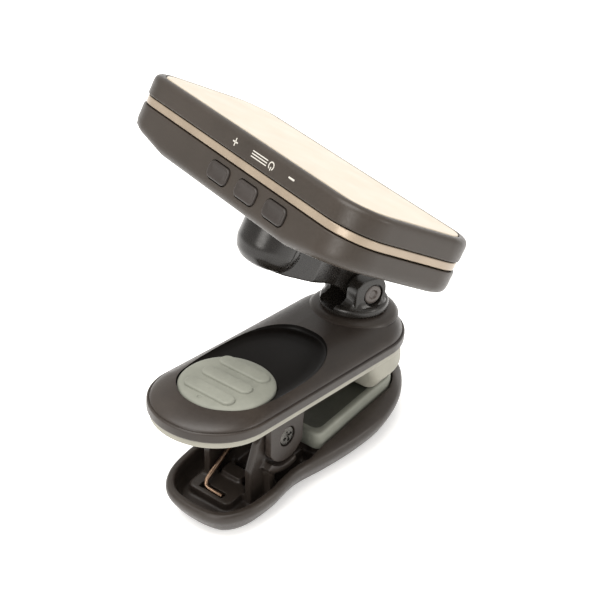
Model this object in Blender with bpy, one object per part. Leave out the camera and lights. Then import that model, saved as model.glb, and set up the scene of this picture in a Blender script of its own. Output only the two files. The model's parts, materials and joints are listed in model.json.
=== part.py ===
"""Clip on tuner: a spring clip with a swivel neck that carries a tilting display head."""

import math

import bpy
import numpy as np
from mathutils import Matrix

# Sizes are in millimetres here and become metres when a mesh is made.
MM = 0.001
GAP = 0.15  # clearance between two pieces that sit together
EPS = 0.6  # how far a cutter runs past the face that it opens

# Clip
PIVOT_H = 11.05  # height of the clip's pivot over the base
JAW_ANGLE = 10.0  # angle between the arms when the jaws are shut
ARM_R = 10.25  # end radius of the upper arm
ARM_X0, ARM_X1 = -11.0, 21.3  # centres of the upper arm's two round ends
ARM_RIM_Z = 9.3  # top of the upper arm's side band
ARM_BAND = 1.65  # height of the side band
ARM_CROWN = 2.8  # rise of the crowned top at the jaw end
CROWN_FALL = 0.0139  # share of that rise lost per millimetre towards the thumb end
ARM_CEILING = 8.3  # underside of the top wall
DISH_X, DISH_A, DISH_B, DISH_RISE = -1.8, 14.0, 8.6, 1.3  # the dished recess in the top
THUMB_X, THUMB_A, THUMB_B, THUMB_RISE = -8.0, 7.5, 7.6, 2.85
BAR_LENGTH, BAR_WIDTH, BAR_PITCH, BAR_HEIGHT = 9.6, 2.5, 4.05, 0.45
LINER_T, LINER_INSET, LINER_WALL = 1.05, 0.45, 2.0
JAW_Z = -3.0  # plane in which the pads meet, under the pivot and level with the lower arm
PAD_X0, PAD_X1, PAD_HALF = 5.6, 29.2, 8.0  # the lower pad; the upper one has the same half width
PAD_T = 3.6
LOWER_RIM_Z = -5.7  # rim of the lower arm, under the pivot
RIM_RISE = 1.1  # how much higher the rim stands beside the jaw pad
LOWER_WALL, LOWER_FLOOR = 1.35, 1.45
LOWER_SHAPE = (  # half width of the lower arm along its length
    (-17.3, 0), (-16.3, 5.3), (-12.6, 8.3), (-7.0, 9.2), (-0.5, 8.9), (6.0, 10.4),
    (12.5, 11.5), (18.5, 11.6), (24.5, 10.0), (29.0, 7.2), (31.5, 4.2), (32.3, 0),
)

# Pivot and spring
RUN = 0.08  # clearance of a shaft that turns in its bore
EAR_R, EAR_OUT, EAR_T = 4.4, 6.4, 1.2  # upper arm's ears
LUG_R, LUG_OUT, LUG_T = 3.8, 4.95, 1.2  # lower arm's lugs, inside the ears
CRADLE_R, CRADLE_T = 5.1, 1.2  # rib that cups the ear
SLEEVE_R, PIVOT_R = 1.6, 0.9
COIL_R, WIRE_R, COIL_HALF, COIL_TURNS = 2.55, 0.4, 2.9, 4
SEAT_X, SEAT_Z = -10.3, -8.0  # where the spring's hooked end sits in its slot, and the seat's top

# Neck
TURRET_X = 23.6
COLLAR_R, COLLAR_T = 5.75, 1.5
SPIGOT_R = 2.5
NECK_TURN = -15.9  # the neck stands turned by this much
FORK_X0, FORK_X1, FORK_HALF = -3.05, 3.05, 4.35
FORK_RISE = 3.0  # top of the fork over the tilt pin
SLOT_Y0, SLOT_Y1 = -1.75, 2.75
PIN_X, PIN_Z, PIN_R = 0.5, 15.92, 1.05
KNUCKLE_R = 2.6
WASHER_T = 0.35

# Head
HEAD_TILT = 25.3
HEAD_L, HEAD_S, HEAD_R = 60.0, 26.1, 6.6
HEAD_X = -22.8  # middle of the head from the tilt pin
FACE_Z = 18.4  # face of the head over the tilt pin
BEZEL_T, BAND_T, HEAD_T, END_T = 3.6, 1.45, 10.8, 8.8
SLOPE_Y = 17.0  # where the back starts to slope up to each end
SHELL_WALL = 1.5
BEZEL_RIM = 1.6
BUTTON_W, BUTTON_H, BUTTON_DEPTH, BUTTON_OUT = 5.2, 2.8, 7.4, 0.35
BUTTON_TRAVEL = 0.35
BUTTONS = (("plus", 1.4), ("menu", -6.1), ("minus", -13.6))
BOSS_X_IN, BOSS_Y_IN = 4.85, 4.8  # case screws, in from the long and the short sides of the head
HUB_X, COVER_R, COVER_T, HUB_LOW = -21.8, 5.3, 0.85, -0.85
CELL_R, CELL_T, CELL_Y = 10.0, 3.2, 15.0

MATERIALS = {
    "head_plastic": ((0.095, 0.078, 0.062), 0.42, 0.0),
    "clip_plastic": ((0.088, 0.070, 0.058), 0.36, 0.0),
    "neck_plastic": ((0.030, 0.025, 0.022), 0.30, 0.0),
    "band_paint": ((0.50, 0.41, 0.29), 0.38, 0.6),
    "lens_clear": ((0.90, 0.86, 0.76), 0.08, 0.0),
    "lcd_glass": ((0.30, 0.33, 0.28), 0.15, 0.0),
    "light_guide": ((0.85, 0.86, 0.84), 0.35, 0.0),
    "button_plastic": ((0.075, 0.060, 0.050), 0.45, 0.0),
    "grey_rubber": ((0.42, 0.43, 0.36), 0.62, 0.0),
    "steel": ((0.45, 0.43, 0.40), 0.30, 1.0),
    "spring_wire": ((0.32, 0.22, 0.16), 0.35, 1.0),
    "cell_steel": ((0.62, 0.61, 0.58), 0.25, 1.0),
    "board": ((0.02, 0.12, 0.05), 0.45, 0.0),
    "chip": ((0.015, 0.015, 0.016), 0.5, 0.0),
    "brass": ((0.60, 0.42, 0.18), 0.3, 1.0),
}

for old in list(bpy.data.objects):
    bpy.data.objects.remove(old, do_unlink=True)
for old in list(bpy.data.meshes):
    bpy.data.meshes.remove(old)


def material(name):
    found = bpy.data.materials.get(name)
    if found:
        return found
    colour, rough, metal = MATERIALS[name]
    made = bpy.data.materials.new(name)
    made.use_nodes = True
    made.diffuse_color = (*colour, 1)
    shader = made.node_tree.nodes["Principled BSDF"]
    shader.inputs["Base Color"].default_value = (*colour, 1)
    shader.inputs["Roughness"].default_value = rough
    shader.inputs["Metallic"].default_value = metal
    return made


# Shapes: each returns (vertices, faces) in millimetres, closed and facing out.


def loft(rings, ring=False):
    """Joins loops of equal length in order, then caps both ends or closes the tube on itself."""
    rings = [np.asarray(r, float) for r in rings]
    n = len(rings[0])
    faces = []
    for k in range(len(rings) - (0 if ring else 1)):
        a, b = k * n, (k + 1) % len(rings) * n
        faces += [(a + i, a + (i + 1) % n, b + (i + 1) % n, b + i) for i in range(n)]
    if not ring:
        faces += [tuple(range(n))[::-1], tuple(range((len(rings) - 1) * n, len(rings) * n))]
    return np.vstack(rings), faces


def at(loop, z):
    return np.column_stack([loop, np.full(len(loop), z) if np.isscalar(z) else z])


def circle(r, n=20, x=0.0, y=0.0):
    t = np.arange(n) * 2 * math.pi / n
    return np.column_stack([x + r * np.cos(t), y + r * np.sin(t)])


def oval(a, b, x=0.0, y=0.0, n=32, power=2.0):
    t = np.arange(n) * 2 * math.pi / n
    c, s = np.cos(t), np.sin(t)
    return np.column_stack(
        [x + a * np.sign(c) * abs(c) ** (2 / power), y + b * np.sign(s) * abs(s) ** (2 / power)]
    )


def rounded(sx, sy, r, x=0.0, y=0.0, n=3):
    loop = []
    for cx, cy, a in ((1, 1, 0), (-1, 1, 90), (-1, -1, 180), (1, -1, 270)):
        for k in range(n + 1):
            t = math.radians(a + 90 * k / n)
            loop.append((x + cx * (sx / 2 - r) + r * math.cos(t),
                         y + cy * (sy / 2 - r) + r * math.sin(t)))
    return np.array(loop)


def stadium(x0, x1, r, n=11):
    loop = []
    for cx, a in ((x1, -90), (x0, 90)):
        for k in range(n + 1):
            t = math.radians(a + 180 * k / n)
            loop.append((cx + r * math.cos(t), r * math.sin(t)))
    return np.array(loop)


def inset(loop, d):
    """Moves each point of a loop inwards along its own normal."""
    before, after = np.roll(loop, 1, 0), np.roll(loop, -1, 0)
    t = after - before
    t /= np.linalg.norm(t, axis=1)[:, None]
    return loop + d * np.column_stack([-t[:, 1], t[:, 0]])


def through(points, steps=2):
    """A smooth closed loop through the points."""
    p = np.asarray(points, float)
    out = []
    for k in range(len(p)):
        a, b, c, d = p[k - 1], p[k], p[(k + 1) % len(p)], p[(k + 2) % len(p)]
        for j in range(steps):
            t = j / steps
            out.append(
                0.5 * (2 * b + (c - a) * t + (2 * a - 5 * b + 4 * c - d) * t**2
                       + (3 * b - a - 3 * c + d) * t**3)
            )
    return np.array(out)


def prism(loop, z0, z1):
    return loft([at(loop, z0), at(loop, z1)])


def box(x0, x1, y0, y1, z0, z1):
    return prism(np.array([(x0, y0), (x1, y0), (x1, y1), (x0, y1)], float), z0, z1)


def turned(shape, axis="y"):
    """Lays a shape made along Z down along Y or X."""
    v, f = shape
    if axis == "y":
        return np.column_stack([v[:, 0], v[:, 2], -v[:, 1]]), f
    return np.column_stack([v[:, 2], v[:, 1], -v[:, 0]]), f


def arc(r, a0, a1, n, x=0.0, z=0.0):
    t = [math.radians(a0 + (a1 - a0) * k / n) for k in range(n + 1)]
    return [(x + r * math.cos(a), z + r * math.sin(a)) for a in t]


def moved(shape, x=0.0, y=0.0, z=0.0):
    return shape[0] + np.array([x, y, z]), shape[1]


def rod_y(r, y0, y1, x=0.0, z=0.0, n=20):
    return moved(turned(prism(circle(r, n), y0, y1)), x, 0, z)


def across(profile, y0, y1):
    """A profile drawn in X and Z, carried along Y."""
    p = np.asarray(profile, float)
    area = sum(p[i - 1][0] * p[i][1] - p[i][0] * p[i - 1][1] for i in range(len(p)))
    if area < 0:
        p = p[::-1]
    flat = np.column_stack([p[:, 0], -p[:, 1]])[::-1]
    return turned(prism(flat, y0, y1))


def along(profile, x0, x1):
    """A profile drawn in Y and Z, carried along X."""
    p = np.asarray(profile, float)
    area = sum(p[i - 1][0] * p[i][1] - p[i][0] * p[i - 1][1] for i in range(len(p)))
    if area < 0:
        p = p[::-1]
    v, f = prism(p, x0, x1)
    return np.column_stack([v[:, 2], v[:, 0], v[:, 1]]), f


def tube_along(path, r, n=8):
    """A round wire along a path of points."""
    p = np.asarray(path, float)
    t = np.gradient(p, axis=0)
    t /= np.linalg.norm(t, axis=1)[:, None]
    side = np.cross(t[0], (0.0, 1.0, 0.0))
    if np.linalg.norm(side) < 0.1:
        side = np.cross(t[0], (1.0, 0.0, 0.0))
    rings = []
    for point, way in zip(p, t):
        side = side - way * (side @ way)
        side /= np.linalg.norm(side)
        other = np.cross(way, side)
        a = np.arange(n) * 2 * math.pi / n
        rings.append(point + r * (np.cos(a)[:, None] * side + np.sin(a)[:, None] * other))
    return loft(rings)


def mesh_of(shape, name):
    v, f = shape
    made = bpy.data.meshes.new(name)
    made.from_pydata((np.asarray(v) * MM).tolist(), [], f)
    made.update()
    return made


def combine(target, shape, operation):
    other = bpy.data.objects.new("cutter", mesh_of(shape, "cutter"))
    bpy.context.scene.collection.objects.link(other)
    modifier = target.modifiers.new("cut", "BOOLEAN")
    modifier.operation, modifier.object, modifier.solver = operation, other, "EXACT"
    graph = bpy.context.evaluated_depsgraph_get()
    made = bpy.data.meshes.new_from_object(target.evaluated_get(graph))
    target.modifiers.remove(modifier)
    old, target.data = target.data, made
    bpy.data.meshes.remove(old)
    bpy.data.objects.remove(other, do_unlink=True)


def join(*shapes):
    return [("UNION", shape) for shape in shapes]


def cut(*shapes):
    return [("DIFFERENCE", shape) for shape in shapes]


def keep(shape):
    return [("INTERSECT", shape)]


def piece(name, slot, parent, shape, steps=(), angle=35):
    """One solid piece of the object: a shape, then the joins and cuts made to it in order."""
    made = bpy.data.objects.new(name, mesh_of(shape, name))
    bpy.context.scene.collection.objects.link(made)
    for operation, other in steps:
        combine(made, other, operation)
    made.data.name = name
    made.data.materials.clear()
    made.data.materials.append(material(slot))
    made.data.shade_smooth()
    made.data.set_sharp_from_angle(angle=math.radians(angle))
    made.parent = parent
    return made


def axis_empty(name, parent, matrix):
    made = bpy.data.objects.new(name, None)
    made.empty_display_size = 0.005
    bpy.context.scene.collection.objects.link(made)
    made.parent = parent
    made.matrix_local = matrix
    return made


def shift(x, y, z):
    return Matrix.Translation((x * MM, y * MM, z * MM))


def turn(degrees, axis):
    return Matrix.Rotation(math.radians(degrees), 4, axis)


base = axis_empty("clip_base", None, shift(0, 0, PIVOT_H))
arm_axis = axis_empty("clip_pivot_axis", base, turn(JAW_ANGLE, "Y"))
neck_axis = axis_empty("neck_axis", arm_axis, shift(TURRET_X, 0, 0) @ turn(NECK_TURN, "Z"))
head_axis = axis_empty("tilt_axis", neck_axis, shift(PIN_X, 0, PIN_Z) @ turn(HEAD_TILT, "Y"))

# ---- Lower arm: a tray with two lugs, a seat for the spring and a bed for the jaw pad ----

half = [(x, -w) for x, w in LOWER_SHAPE[:-1]] + [(x, w) for x, w in LOWER_SHAPE[:0:-1]]
lower_loop = through(half)
low = -PIVOT_H
floor = low + LOWER_FLOOR
rim = LOWER_RIM_Z
PAD_REACH = 6.0  # length of the pad's rounded tip
FIT = 0.25  # clearance around the pad


def pad_loop(x0, x1, half_width, r, reach):
    """Straight across at the back, round at the tip."""
    loop = [(x0 + r - r * math.cos(t), -half_width + r - r * math.sin(t))
            for t in np.radians([0, 30, 60, 90])]
    loop += [(x1 - reach + reach * math.sin(t), -half_width * math.cos(t))
             for t in np.radians(np.arange(0, 91, 15))]
    return np.array(loop + [(x, -y) for x, y in loop[::-1][1:]])


def tray_loop(d):
    """Inside of the tray: it follows the outline, then closes in around the jaw pad."""
    loop = inset(lower_loop, d)
    x = np.minimum(loop[:, 0], PAD_X1 + FIT + LOWER_WALL - d)
    along_tip = np.clip((x - (PAD_X1 - PAD_REACH)) / (PAD_REACH + FIT + LOWER_WALL - d), 0, 1)
    most = (PAD_HALF + FIT + LOWER_WALL - d) * np.sqrt(1 - along_tip**2)
    return np.column_stack([x, np.clip(loop[:, 1], -most, most)])


def rim_height(loop, share):
    """The rim stands higher beside the jaw pad."""
    t = np.clip((loop[:, 0] - 1.0) / 6.0, 0, 1)
    far = np.clip((loop[:, 0] - PAD_X0) / (PAD_X1 - PAD_X0), 0, 1)
    return rim + share * RIM_RISE * (t * t * (3 - 2 * t)) * (0.5 + 0.5 * far)


shoulder_loop = inset(lower_loop, 0.45)
inner_loop = tray_loop(LOWER_WALL)
middle_loop = (shoulder_loop + inner_loop) / 2
tray = loft([
    at(inset(lower_loop, 2.8), low),
    at(inset(lower_loop, 2.2), low + 0.4),
    at(inset(lower_loop, 1.1), low + 1.8),
    at(inset(lower_loop, 0.25), low + 3.4),
    at(lower_loop, rim - 1.3),
    at(lower_loop, rim - 0.45),
    at(shoulder_loop, rim_height(shoulder_loop, 0.1)),
    at(middle_loop, rim_height(middle_loop, 0.7)),
    at(inner_loop, rim_height(inner_loop, 1.0)),
    at(tray_loop(LOWER_WALL + 0.15), rim_height(inner_loop, 1.0) - 0.3),
    at(tray_loop(LOWER_WALL + 0.15), floor + 1.2),
    at(tray_loop(LOWER_WALL + 1.0), floor),
])
lug = (
    [(-8.3, floor - 0.5), (5.2, floor - 0.5), (5.2, -5.2)]
    + arc(LUG_R, -10, 90, 6)
    + [(-4.4, 2.2), (-5.5, 1.35), (-7.7, -2.95)]
)
cradle = arc(CRADLE_R, 215, 335, 8) + arc(CRADLE_R + CRADLE_T, 335, 215, 8)
lugs, cradles = [], []
for side in (-1, 1):
    lugs.append(across(lug, *sorted((side * (LUG_OUT - LUG_T), side * LUG_OUT))))
    out = sorted((side * (LUG_OUT - 0.6), side * (EAR_OUT + 0.2)))
    cradles.append(across(cradle, *out))
    foot = sorted((side * (LUG_OUT - 0.5), side * (EAR_OUT - 0.3)))
    cradles.append(box(-4.6, -3.3, *foot, floor - 0.5, -CRADLE_R + 0.2))
pad_top = JAW_Z - GAP / 2
pad_bottom = JAW_Z - PAD_T
bed = prism(rounded(PAD_X1 - PAD_X0 - 6, 2 * PAD_HALF - 2.4, 2.5, (PAD_X0 + PAD_X1) / 2 - 1.5, 0),
            floor - 0.5, pad_bottom - GAP)
seat = prism(rounded(5.4, 8.8, 1.2, SEAT_X + 1.3, 1.2), floor - 0.5, SEAT_Z)
step = prism(rounded(2.6, 4.2, 0.6, SEAT_X + 4.9, 0.6), floor - 0.5, SEAT_Z + 0.8)
pad_room = prism(pad_loop(PAD_X0 - 4, PAD_X1 + FIT, PAD_HALF + FIT, 1.4, PAD_REACH + FIT),
                 pad_bottom - GAP, rim + 5)
HOOK_Y0, HOOK_Y1 = -0.9, 3.0
slot = box(SEAT_X - 0.65, SEAT_X + 0.65, HOOK_Y0 - 0.5, HOOK_Y1 + 0.6, SEAT_Z - 1.15, SEAT_Z + 2)
ribs = [box(x, x + 0.9, -6.6, 6.6, floor - 0.5, floor + 0.9) for x in (-3.0, 4.0)]
lower_arm = piece(
    "lower_arm", "clip_plastic", base, tray,
    cut(pad_room) + join(step, seat, bed, *ribs, *lugs, *cradles)
    + cut(slot, rod_y(SLEEVE_R + RUN, -LUG_OUT - EPS, LUG_OUT + EPS)),
)

# ---- Lower jaw pad: a block of rubber in the tray, level with the lower arm ----


def pad_ring(d, z):
    return at(pad_loop(PAD_X0 + d, PAD_X1 - d, PAD_HALF - d, 1.4, PAD_REACH - d / 2), z)


lower_pad = piece(
    "lower_pad", "grey_rubber", base,
    loft([pad_ring(0.2, pad_bottom), pad_ring(0, pad_bottom + 0.3), pad_ring(0, pad_top - 0.35),
          pad_ring(0.12, pad_top - 0.12), pad_ring(0.4, pad_top)]),
    angle=50,
)

# ---- Upper arm: a crowned lever with a dish for the thumb and two ears ----

band_low = ARM_RIM_Z - ARM_BAND
crown = [(0.5, 0.4), (1.1, 1.2), (2.3, 2.0), (4.2, 2.58), (7.4, ARM_CROWN)]


def arm_loop(d):
    return stadium(ARM_X0, ARM_X1, ARM_R - d)


def crowned(loop, rise):
    """Lays a loop at a height over the rim that falls off towards the thumb end."""
    return at(loop, ARM_RIM_Z + rise * (1 + (loop[:, 0] - ARM_X1) * CROWN_FALL))


shell = loft(
    [at(arm_loop(4.2), ARM_CEILING), at(arm_loop(2.6), ARM_CEILING - 0.1),
     at(arm_loop(1.5), ARM_CEILING - 0.45), at(arm_loop(1.4), band_low),
     at(arm_loop(0.25), band_low), at(arm_loop(0), band_low + 0.2),
     at(arm_loop(0), ARM_RIM_Z - 0.15), at(arm_loop(0.15), ARM_RIM_Z),
     at(arm_loop(0.35), ARM_RIM_Z), at(arm_loop(0.4), ARM_RIM_Z - 0.14)]
    + [crowned(arm_loop(d), h) for d, h in crown]
)
dish = loft([
    crowned(oval(DISH_A * k, DISH_B * k, DISH_X, 0, 34, 2.3), DISH_RISE + h)
    for k, h in ((0.6, 0), (0.8, 0.06), (0.93, 0.26), (0.99, 0.62), (1.0, 0.95), (1.04, 5))
])
pocket_low = DISH_RISE - 1.0
pocket = loft([crowned(oval(THUMB_A + GAP, THUMB_B + GAP, THUMB_X, 0, 32, 2.1), h) for h in (pocket_low, 6)])
ear = (arc(EAR_R, -155, -25, 10)
       + [(3.8, 1.5), (4.5, ARM_CEILING + 0.4), (-5.0, ARM_CEILING + 0.4), (-4.2, 1.5)])
ears = [across(ear, *sorted((side * (EAR_OUT - EAR_T), side * EAR_OUT))) for side in (-1, 1)]
arm_top = ARM_RIM_Z + ARM_CROWN * (1 + (TURRET_X + COLLAR_R - ARM_X1) * CROWN_FALL)
swell = loft([at(circle(r, 28, TURRET_X), z) for r, z in
              ((7.6, arm_top - 1.0), (7.2, arm_top - 0.42), (6.6, arm_top - 0.12), (6.0, arm_top + 0.06))])
WELL_Z = 10.3  # ceiling of the well that holds the neck's screw and washer
SCREW_SEAT = 0.65  # depth of the recess for the pivot screw's head and nut
upper_arm = piece(
    "upper_arm", "clip_plastic", arm_axis, shell,
    join(*ears, swell)
    + cut(dish, pocket, prism(circle(4.6, 20, TURRET_X), 5, WELL_Z),
          prism(circle(SPIGOT_R + RUN, 20, TURRET_X), 5, 20),
          rod_y(PIVOT_R + GAP, -EAR_OUT - EPS, EAR_OUT + EPS),
          rod_y(1.8, -EAR_OUT - EPS, -EAR_OUT + SCREW_SEAT),
          rod_y(1.95, EAR_OUT - SCREW_SEAT, EAR_OUT + EPS)),
)

# ---- Thumb pad: a rubber inlay with three raised bars ----

pad_rise = ((0, pocket_low + GAP), (0, DISH_RISE + 0.35), (0.15, DISH_RISE + 0.85), (0.6, DISH_RISE + 1.3),
            (1.6, THUMB_RISE))
bars = []
for k in (-1, 0, 1):
    x = THUMB_X + k * BAR_PITCH
    r = BAR_WIDTH / 2 - 0.01
    bars.append(loft([
        crowned(rounded(BAR_WIDTH - d, BAR_LENGTH - d, r - d / 2, x), THUMB_RISE + h)
        for d, h in ((0, -0.5), (0, 0.1), (0.35, BAR_HEIGHT - 0.1), (0.9, BAR_HEIGHT + 0.05))
    ]))
thumb_pad = piece(
    "thumb_pad", "grey_rubber", arm_axis,
    loft([crowned(oval(THUMB_A - d, THUMB_B - d, THUMB_X, 0, 32, 2.1), h) for d, h in pad_rise]),
    join(*bars),
)

# ---- Upper liner: a rubber band under the rim that thickens into the jaw pad ----

liner_top = band_low - GAP
liner_low = liner_top - LINER_T
liner = stadium(ARM_X0, ARM_X1, ARM_R - LINER_INSET)
window = rounded(31.0, 2 * (ARM_R - LINER_INSET - LINER_WALL), 5.5, -2.8)


def jaw_plane(loop, lift):
    """The plane in which the pads meet, in the upper arm's own directions."""
    a = math.radians(JAW_ANGLE)
    return (JAW_Z + GAP / 2 + lift) / math.cos(a) + loop[:, 0] * math.tan(a)


jaw_loops = [pad_loop(19.9, 29.7, PAD_HALF - 0.45, 1.2, 7.4), pad_loop(19.4, 30.1, PAD_HALF, 1.4, 7.8),
             pad_loop(18.2, 31.6, ARM_R - 0.35, 1.6, 10.2), pad_loop(16.4, 31.2, ARM_R - 0.6, 1.6, 9.8)]
jaw = loft([at(jaw_loops[0], jaw_plane(jaw_loops[0], 0)), at(jaw_loops[1], jaw_plane(jaw_loops[1], 0.4)),
            at(jaw_loops[2], 3.7), at(jaw_loops[3], liner_low + 0.3)])
upper_liner = piece(
    "upper_liner", "grey_rubber", arm_axis,
    loft([at(inset(liner, 0.2), liner_low), at(liner, liner_low + 0.2), at(liner, liner_top)]),
    join(jaw) + cut(prism(window, liner_low - 1, liner_top + 1)),
    angle=50,
)

# ---- Pivot: screw, nut and the sleeve that the spring is wound around ----


def cross_slots(r, depth, y_face):
    """Two crossed cutters for a screw's drive, in a face that looks along -Y."""
    return [box(-r, r, y_face - EPS, y_face + depth, -r / 4, r / 4),
            box(-r / 4, r / 4, y_face - EPS, y_face + depth, -r, r)]


head_face = -EAR_OUT + 0.08
screw_seat = -EAR_OUT + SCREW_SEAT - GAP
pivot_screw = piece(
    "pivot_screw", "steel", arm_axis,
    turned(loft([at(circle(1.3), head_face), at(circle(1.6), head_face + 0.15), at(circle(1.6), screw_seat),
                 at(circle(PIVOT_R), screw_seat), at(circle(PIVOT_R), EAR_OUT - 0.05)])),
    cut(*cross_slots(1.0, 0.32, head_face)),
)
pivot_nut = piece(
    "pivot_nut", "steel", arm_axis,
    rod_y(1.75, EAR_OUT - SCREW_SEAT + GAP, EAR_OUT + 0.35, n=6),
    cut(rod_y(PIVOT_R + RUN, 0, 9)),
)
sleeve_half = EAR_OUT - EAR_T - GAP
pivot_sleeve = piece(
    "pivot_sleeve", "steel", arm_axis,
    rod_y(SLEEVE_R, -sleeve_half, sleeve_half),
    cut(rod_y(PIVOT_R + GAP, -9, 9)),
)

# ---- Torsion spring: one leg hooks into the lower arm, the other pushes the upper arm ----

KNEE_Z = SEAT_Z + 0.5
PUSH_X, PUSH_Z = -12.2, 7.1  # where the upper leg bears, in the upper arm's own directions
a = math.radians(JAW_ANGLE)
push = (PUSH_X * math.cos(a) + PUSH_Z * math.sin(a), PUSH_Z * math.cos(a) - PUSH_X * math.sin(a))
near, far = math.hypot(SEAT_X, KNEE_Z), math.hypot(*push)
start = math.degrees(math.atan2(KNEE_Z, SEAT_X) + math.acos(COIL_R / near)) % 360
end = math.degrees(math.atan2(push[1], push[0]) - math.acos(COIL_R / far)) % 360
sweep = 360 * COIL_TURNS + (end - start) % 360
steps = int(sweep / 30)
coil = []
for k in range(steps + 1):
    a = math.radians(start + sweep * k / steps)
    coil.append((COIL_R * math.cos(a), COIL_HALF - 2 * COIL_HALF * k / steps, COIL_R * math.sin(a)))
first, last = np.array(coil[0]), np.array(coil[-1])
knee = np.array((SEAT_X, COIL_HALF, KNEE_Z))
hook = [(SEAT_X, HOOK_Y0, KNEE_Z - 0.85), (SEAT_X, 1.4, KNEE_Z - 0.75), (SEAT_X, 2.3, KNEE_Z - 0.6),
        (SEAT_X + 0.1, 2.75, KNEE_Z - 0.3)]
leg = [tuple(first + (knee - first) * k) for k in (0.95, 0.5, 0.08)]
shoulder = np.array((push[0], -COIL_HALF, push[1]))
arm_leg = [tuple(last + (shoulder - last) * k) for k in (0.08, 0.5, 1.0)]
torsion_spring = piece("torsion_spring", "spring_wire", base,
                       tube_along(hook + leg + coil + arm_leg, WIRE_R, 6), angle=60)

# ---- Turret: a round collar that turns on the upper arm, with a fork for the tilt pin ----

collar_low = arm_top + 0.2
collar_top = collar_low + COLLAR_T
fork_mid, fork_half = (FORK_X0 + FORK_X1) / 2, (FORK_X1 - FORK_X0) / 2
fork = [(FORK_X0, collar_top - 0.6), (FORK_X1, collar_top - 0.6)]
for k in range(13):
    c, s = math.cos(math.pi * k / 12), math.sin(math.pi * k / 12)
    fork.append((fork_mid + fork_half * math.copysign(abs(c) ** 0.75, c),
                 PIN_Z + 0.3 + (FORK_RISE - 0.3) * abs(s) ** 0.75))
skirt = loft([at(rounded(sx, sy, r), collar_top + z) for sx, sy, r, z in
              ((9.4, 10.0, 3.2, -0.35), (8.0, 9.6, 2.4, 0.05), (6.5, 9.0, 1.4, 0.6), (5.9, 8.6, 0.9, 1.3))])
spigot_low = WELL_Z - 0.1
turret = piece(
    "turret", "neck_plastic", neck_axis,
    loft([at(circle(SPIGOT_R, 28), spigot_low), at(circle(SPIGOT_R, 28), collar_low),
          at(circle(COLLAR_R - 0.15, 28), collar_low), at(circle(COLLAR_R, 28), collar_low + 0.15),
          at(circle(COLLAR_R, 28), collar_top - 0.5), at(circle(COLLAR_R - 0.2, 28), collar_top - 0.15),
          at(circle(COLLAR_R - 0.6, 28), collar_top)]),
    join(skirt, across(fork, -FORK_HALF, FORK_HALF))
    + cut(box(-9, 9, SLOT_Y0, SLOT_Y1, collar_top - 0.9, 25),
          rod_y(PIN_R + RUN, -9, 9, PIN_X, PIN_Z),
          rod_y(1.9, -9, -FORK_HALF + 0.55, PIN_X, PIN_Z),
          rod_y(1.9, FORK_HALF - 0.55, 9, PIN_X, PIN_Z),
          prism(circle(1.05, 16), spigot_low - 1, spigot_low + 1.9)),
)
washer_top = spigot_low - RUN
turret_washer = piece("turret_washer", "steel", neck_axis,
                      prism(circle(4.2), washer_top - 0.45, washer_top),
                      cut(prism(circle(1.1, 16), 5, 12)))
screw_top = washer_top - 0.45 - RUN
turret_screw = piece(
    "turret_screw", "steel", neck_axis,
    loft([at(circle(1.5), screw_top - 1.2), at(circle(1.9), screw_top - 0.9), at(circle(1.9), screw_top),
          at(circle(0.9), screw_top), at(circle(0.9), spigot_low + 1.6)]),
)

# ---- Tilt pin: a shouldered screw and nut, with a washer on each side of the knuckle ----

pin_face = -FORK_HALF + 0.05
hinge_pin = piece(
    "hinge_pin", "neck_plastic", neck_axis,
    moved(turned(loft([
        at(circle(0.7), pin_face + 0.25), at(circle(0.9), pin_face), at(circle(1.5), pin_face),
        at(circle(1.65), pin_face + 0.15), at(circle(1.65), -FORK_HALF + 0.45),
        at(circle(PIN_R), -FORK_HALF + 0.45), at(circle(PIN_R), FORK_HALF - 0.05),
    ])), PIN_X, 0, PIN_Z),
)
hinge_nut = piece("hinge_nut", "steel", neck_axis,
                  rod_y(1.75, FORK_HALF - 0.45, FORK_HALF + 0.3, PIN_X, PIN_Z, n=6),
                  cut(rod_y(PIN_R + RUN, 0, 9, PIN_X, PIN_Z)))
side_gap = 0.1
for name, y0 in (("hinge_washer_near", SLOT_Y0 + side_gap),
                 ("hinge_washer_far", SLOT_Y1 - side_gap - WASHER_T)):
    piece(name, "steel", neck_axis, rod_y(2.3, y0, y0 + WASHER_T, PIN_X, PIN_Z),
          cut(rod_y(PIN_R + RUN, -9, 9, PIN_X, PIN_Z)))

# ---- Arm of the head: knuckle, tongue and the round hub under the middle of the head ----

back_z = FACE_Z - HEAD_T
y0 = SLOT_Y0 + 2 * side_gap + WASHER_T
y1 = SLOT_Y1 - 2 * side_gap - WASHER_T
knuckle_mid = (y0 + y1) / 2
hub_top = back_z - 0.2
core_r = COVER_R - COVER_T - GAP
TONGUE = 3.2  # half width of the tongue where it leaves the hub
tongue_plan = np.array([(HUB_X - 0.5, -TONGUE), (HUB_X + 9, -TONGUE), (-6.2, y0), (KNUCKLE_R + 1, y0),
                        (KNUCKLE_R + 1, y1), (-6.2, y1), (HUB_X + 9, TONGUE + knuckle_mid),
                        (HUB_X - 0.5, TONGUE + knuckle_mid)])
tongue_side = (
    [(HUB_X - 2, HUB_LOW + 0.4), (HUB_X + 3, HUB_LOW), (-8.0, HUB_LOW + 0.1), (-3.0, -1.3)]
    + arc(KNUCKLE_R, 215, 450, 14)
    + [(-3.0, 2.9), (-8.0, 3.3), (HUB_X + 5, 4.2), (HUB_X - 2, 4.2)]
)
core = loft([at(circle(r, 28, HUB_X), z) for r, z in (
    (core_r - 3.0, HUB_LOW + COVER_T + 0.3), (core_r - 1.3, HUB_LOW + COVER_T + 0.5),
    (core_r - 0.3, HUB_LOW + COVER_T + 1.5), (core_r, HUB_LOW + COVER_T + 3), (core_r, hub_top))])
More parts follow.
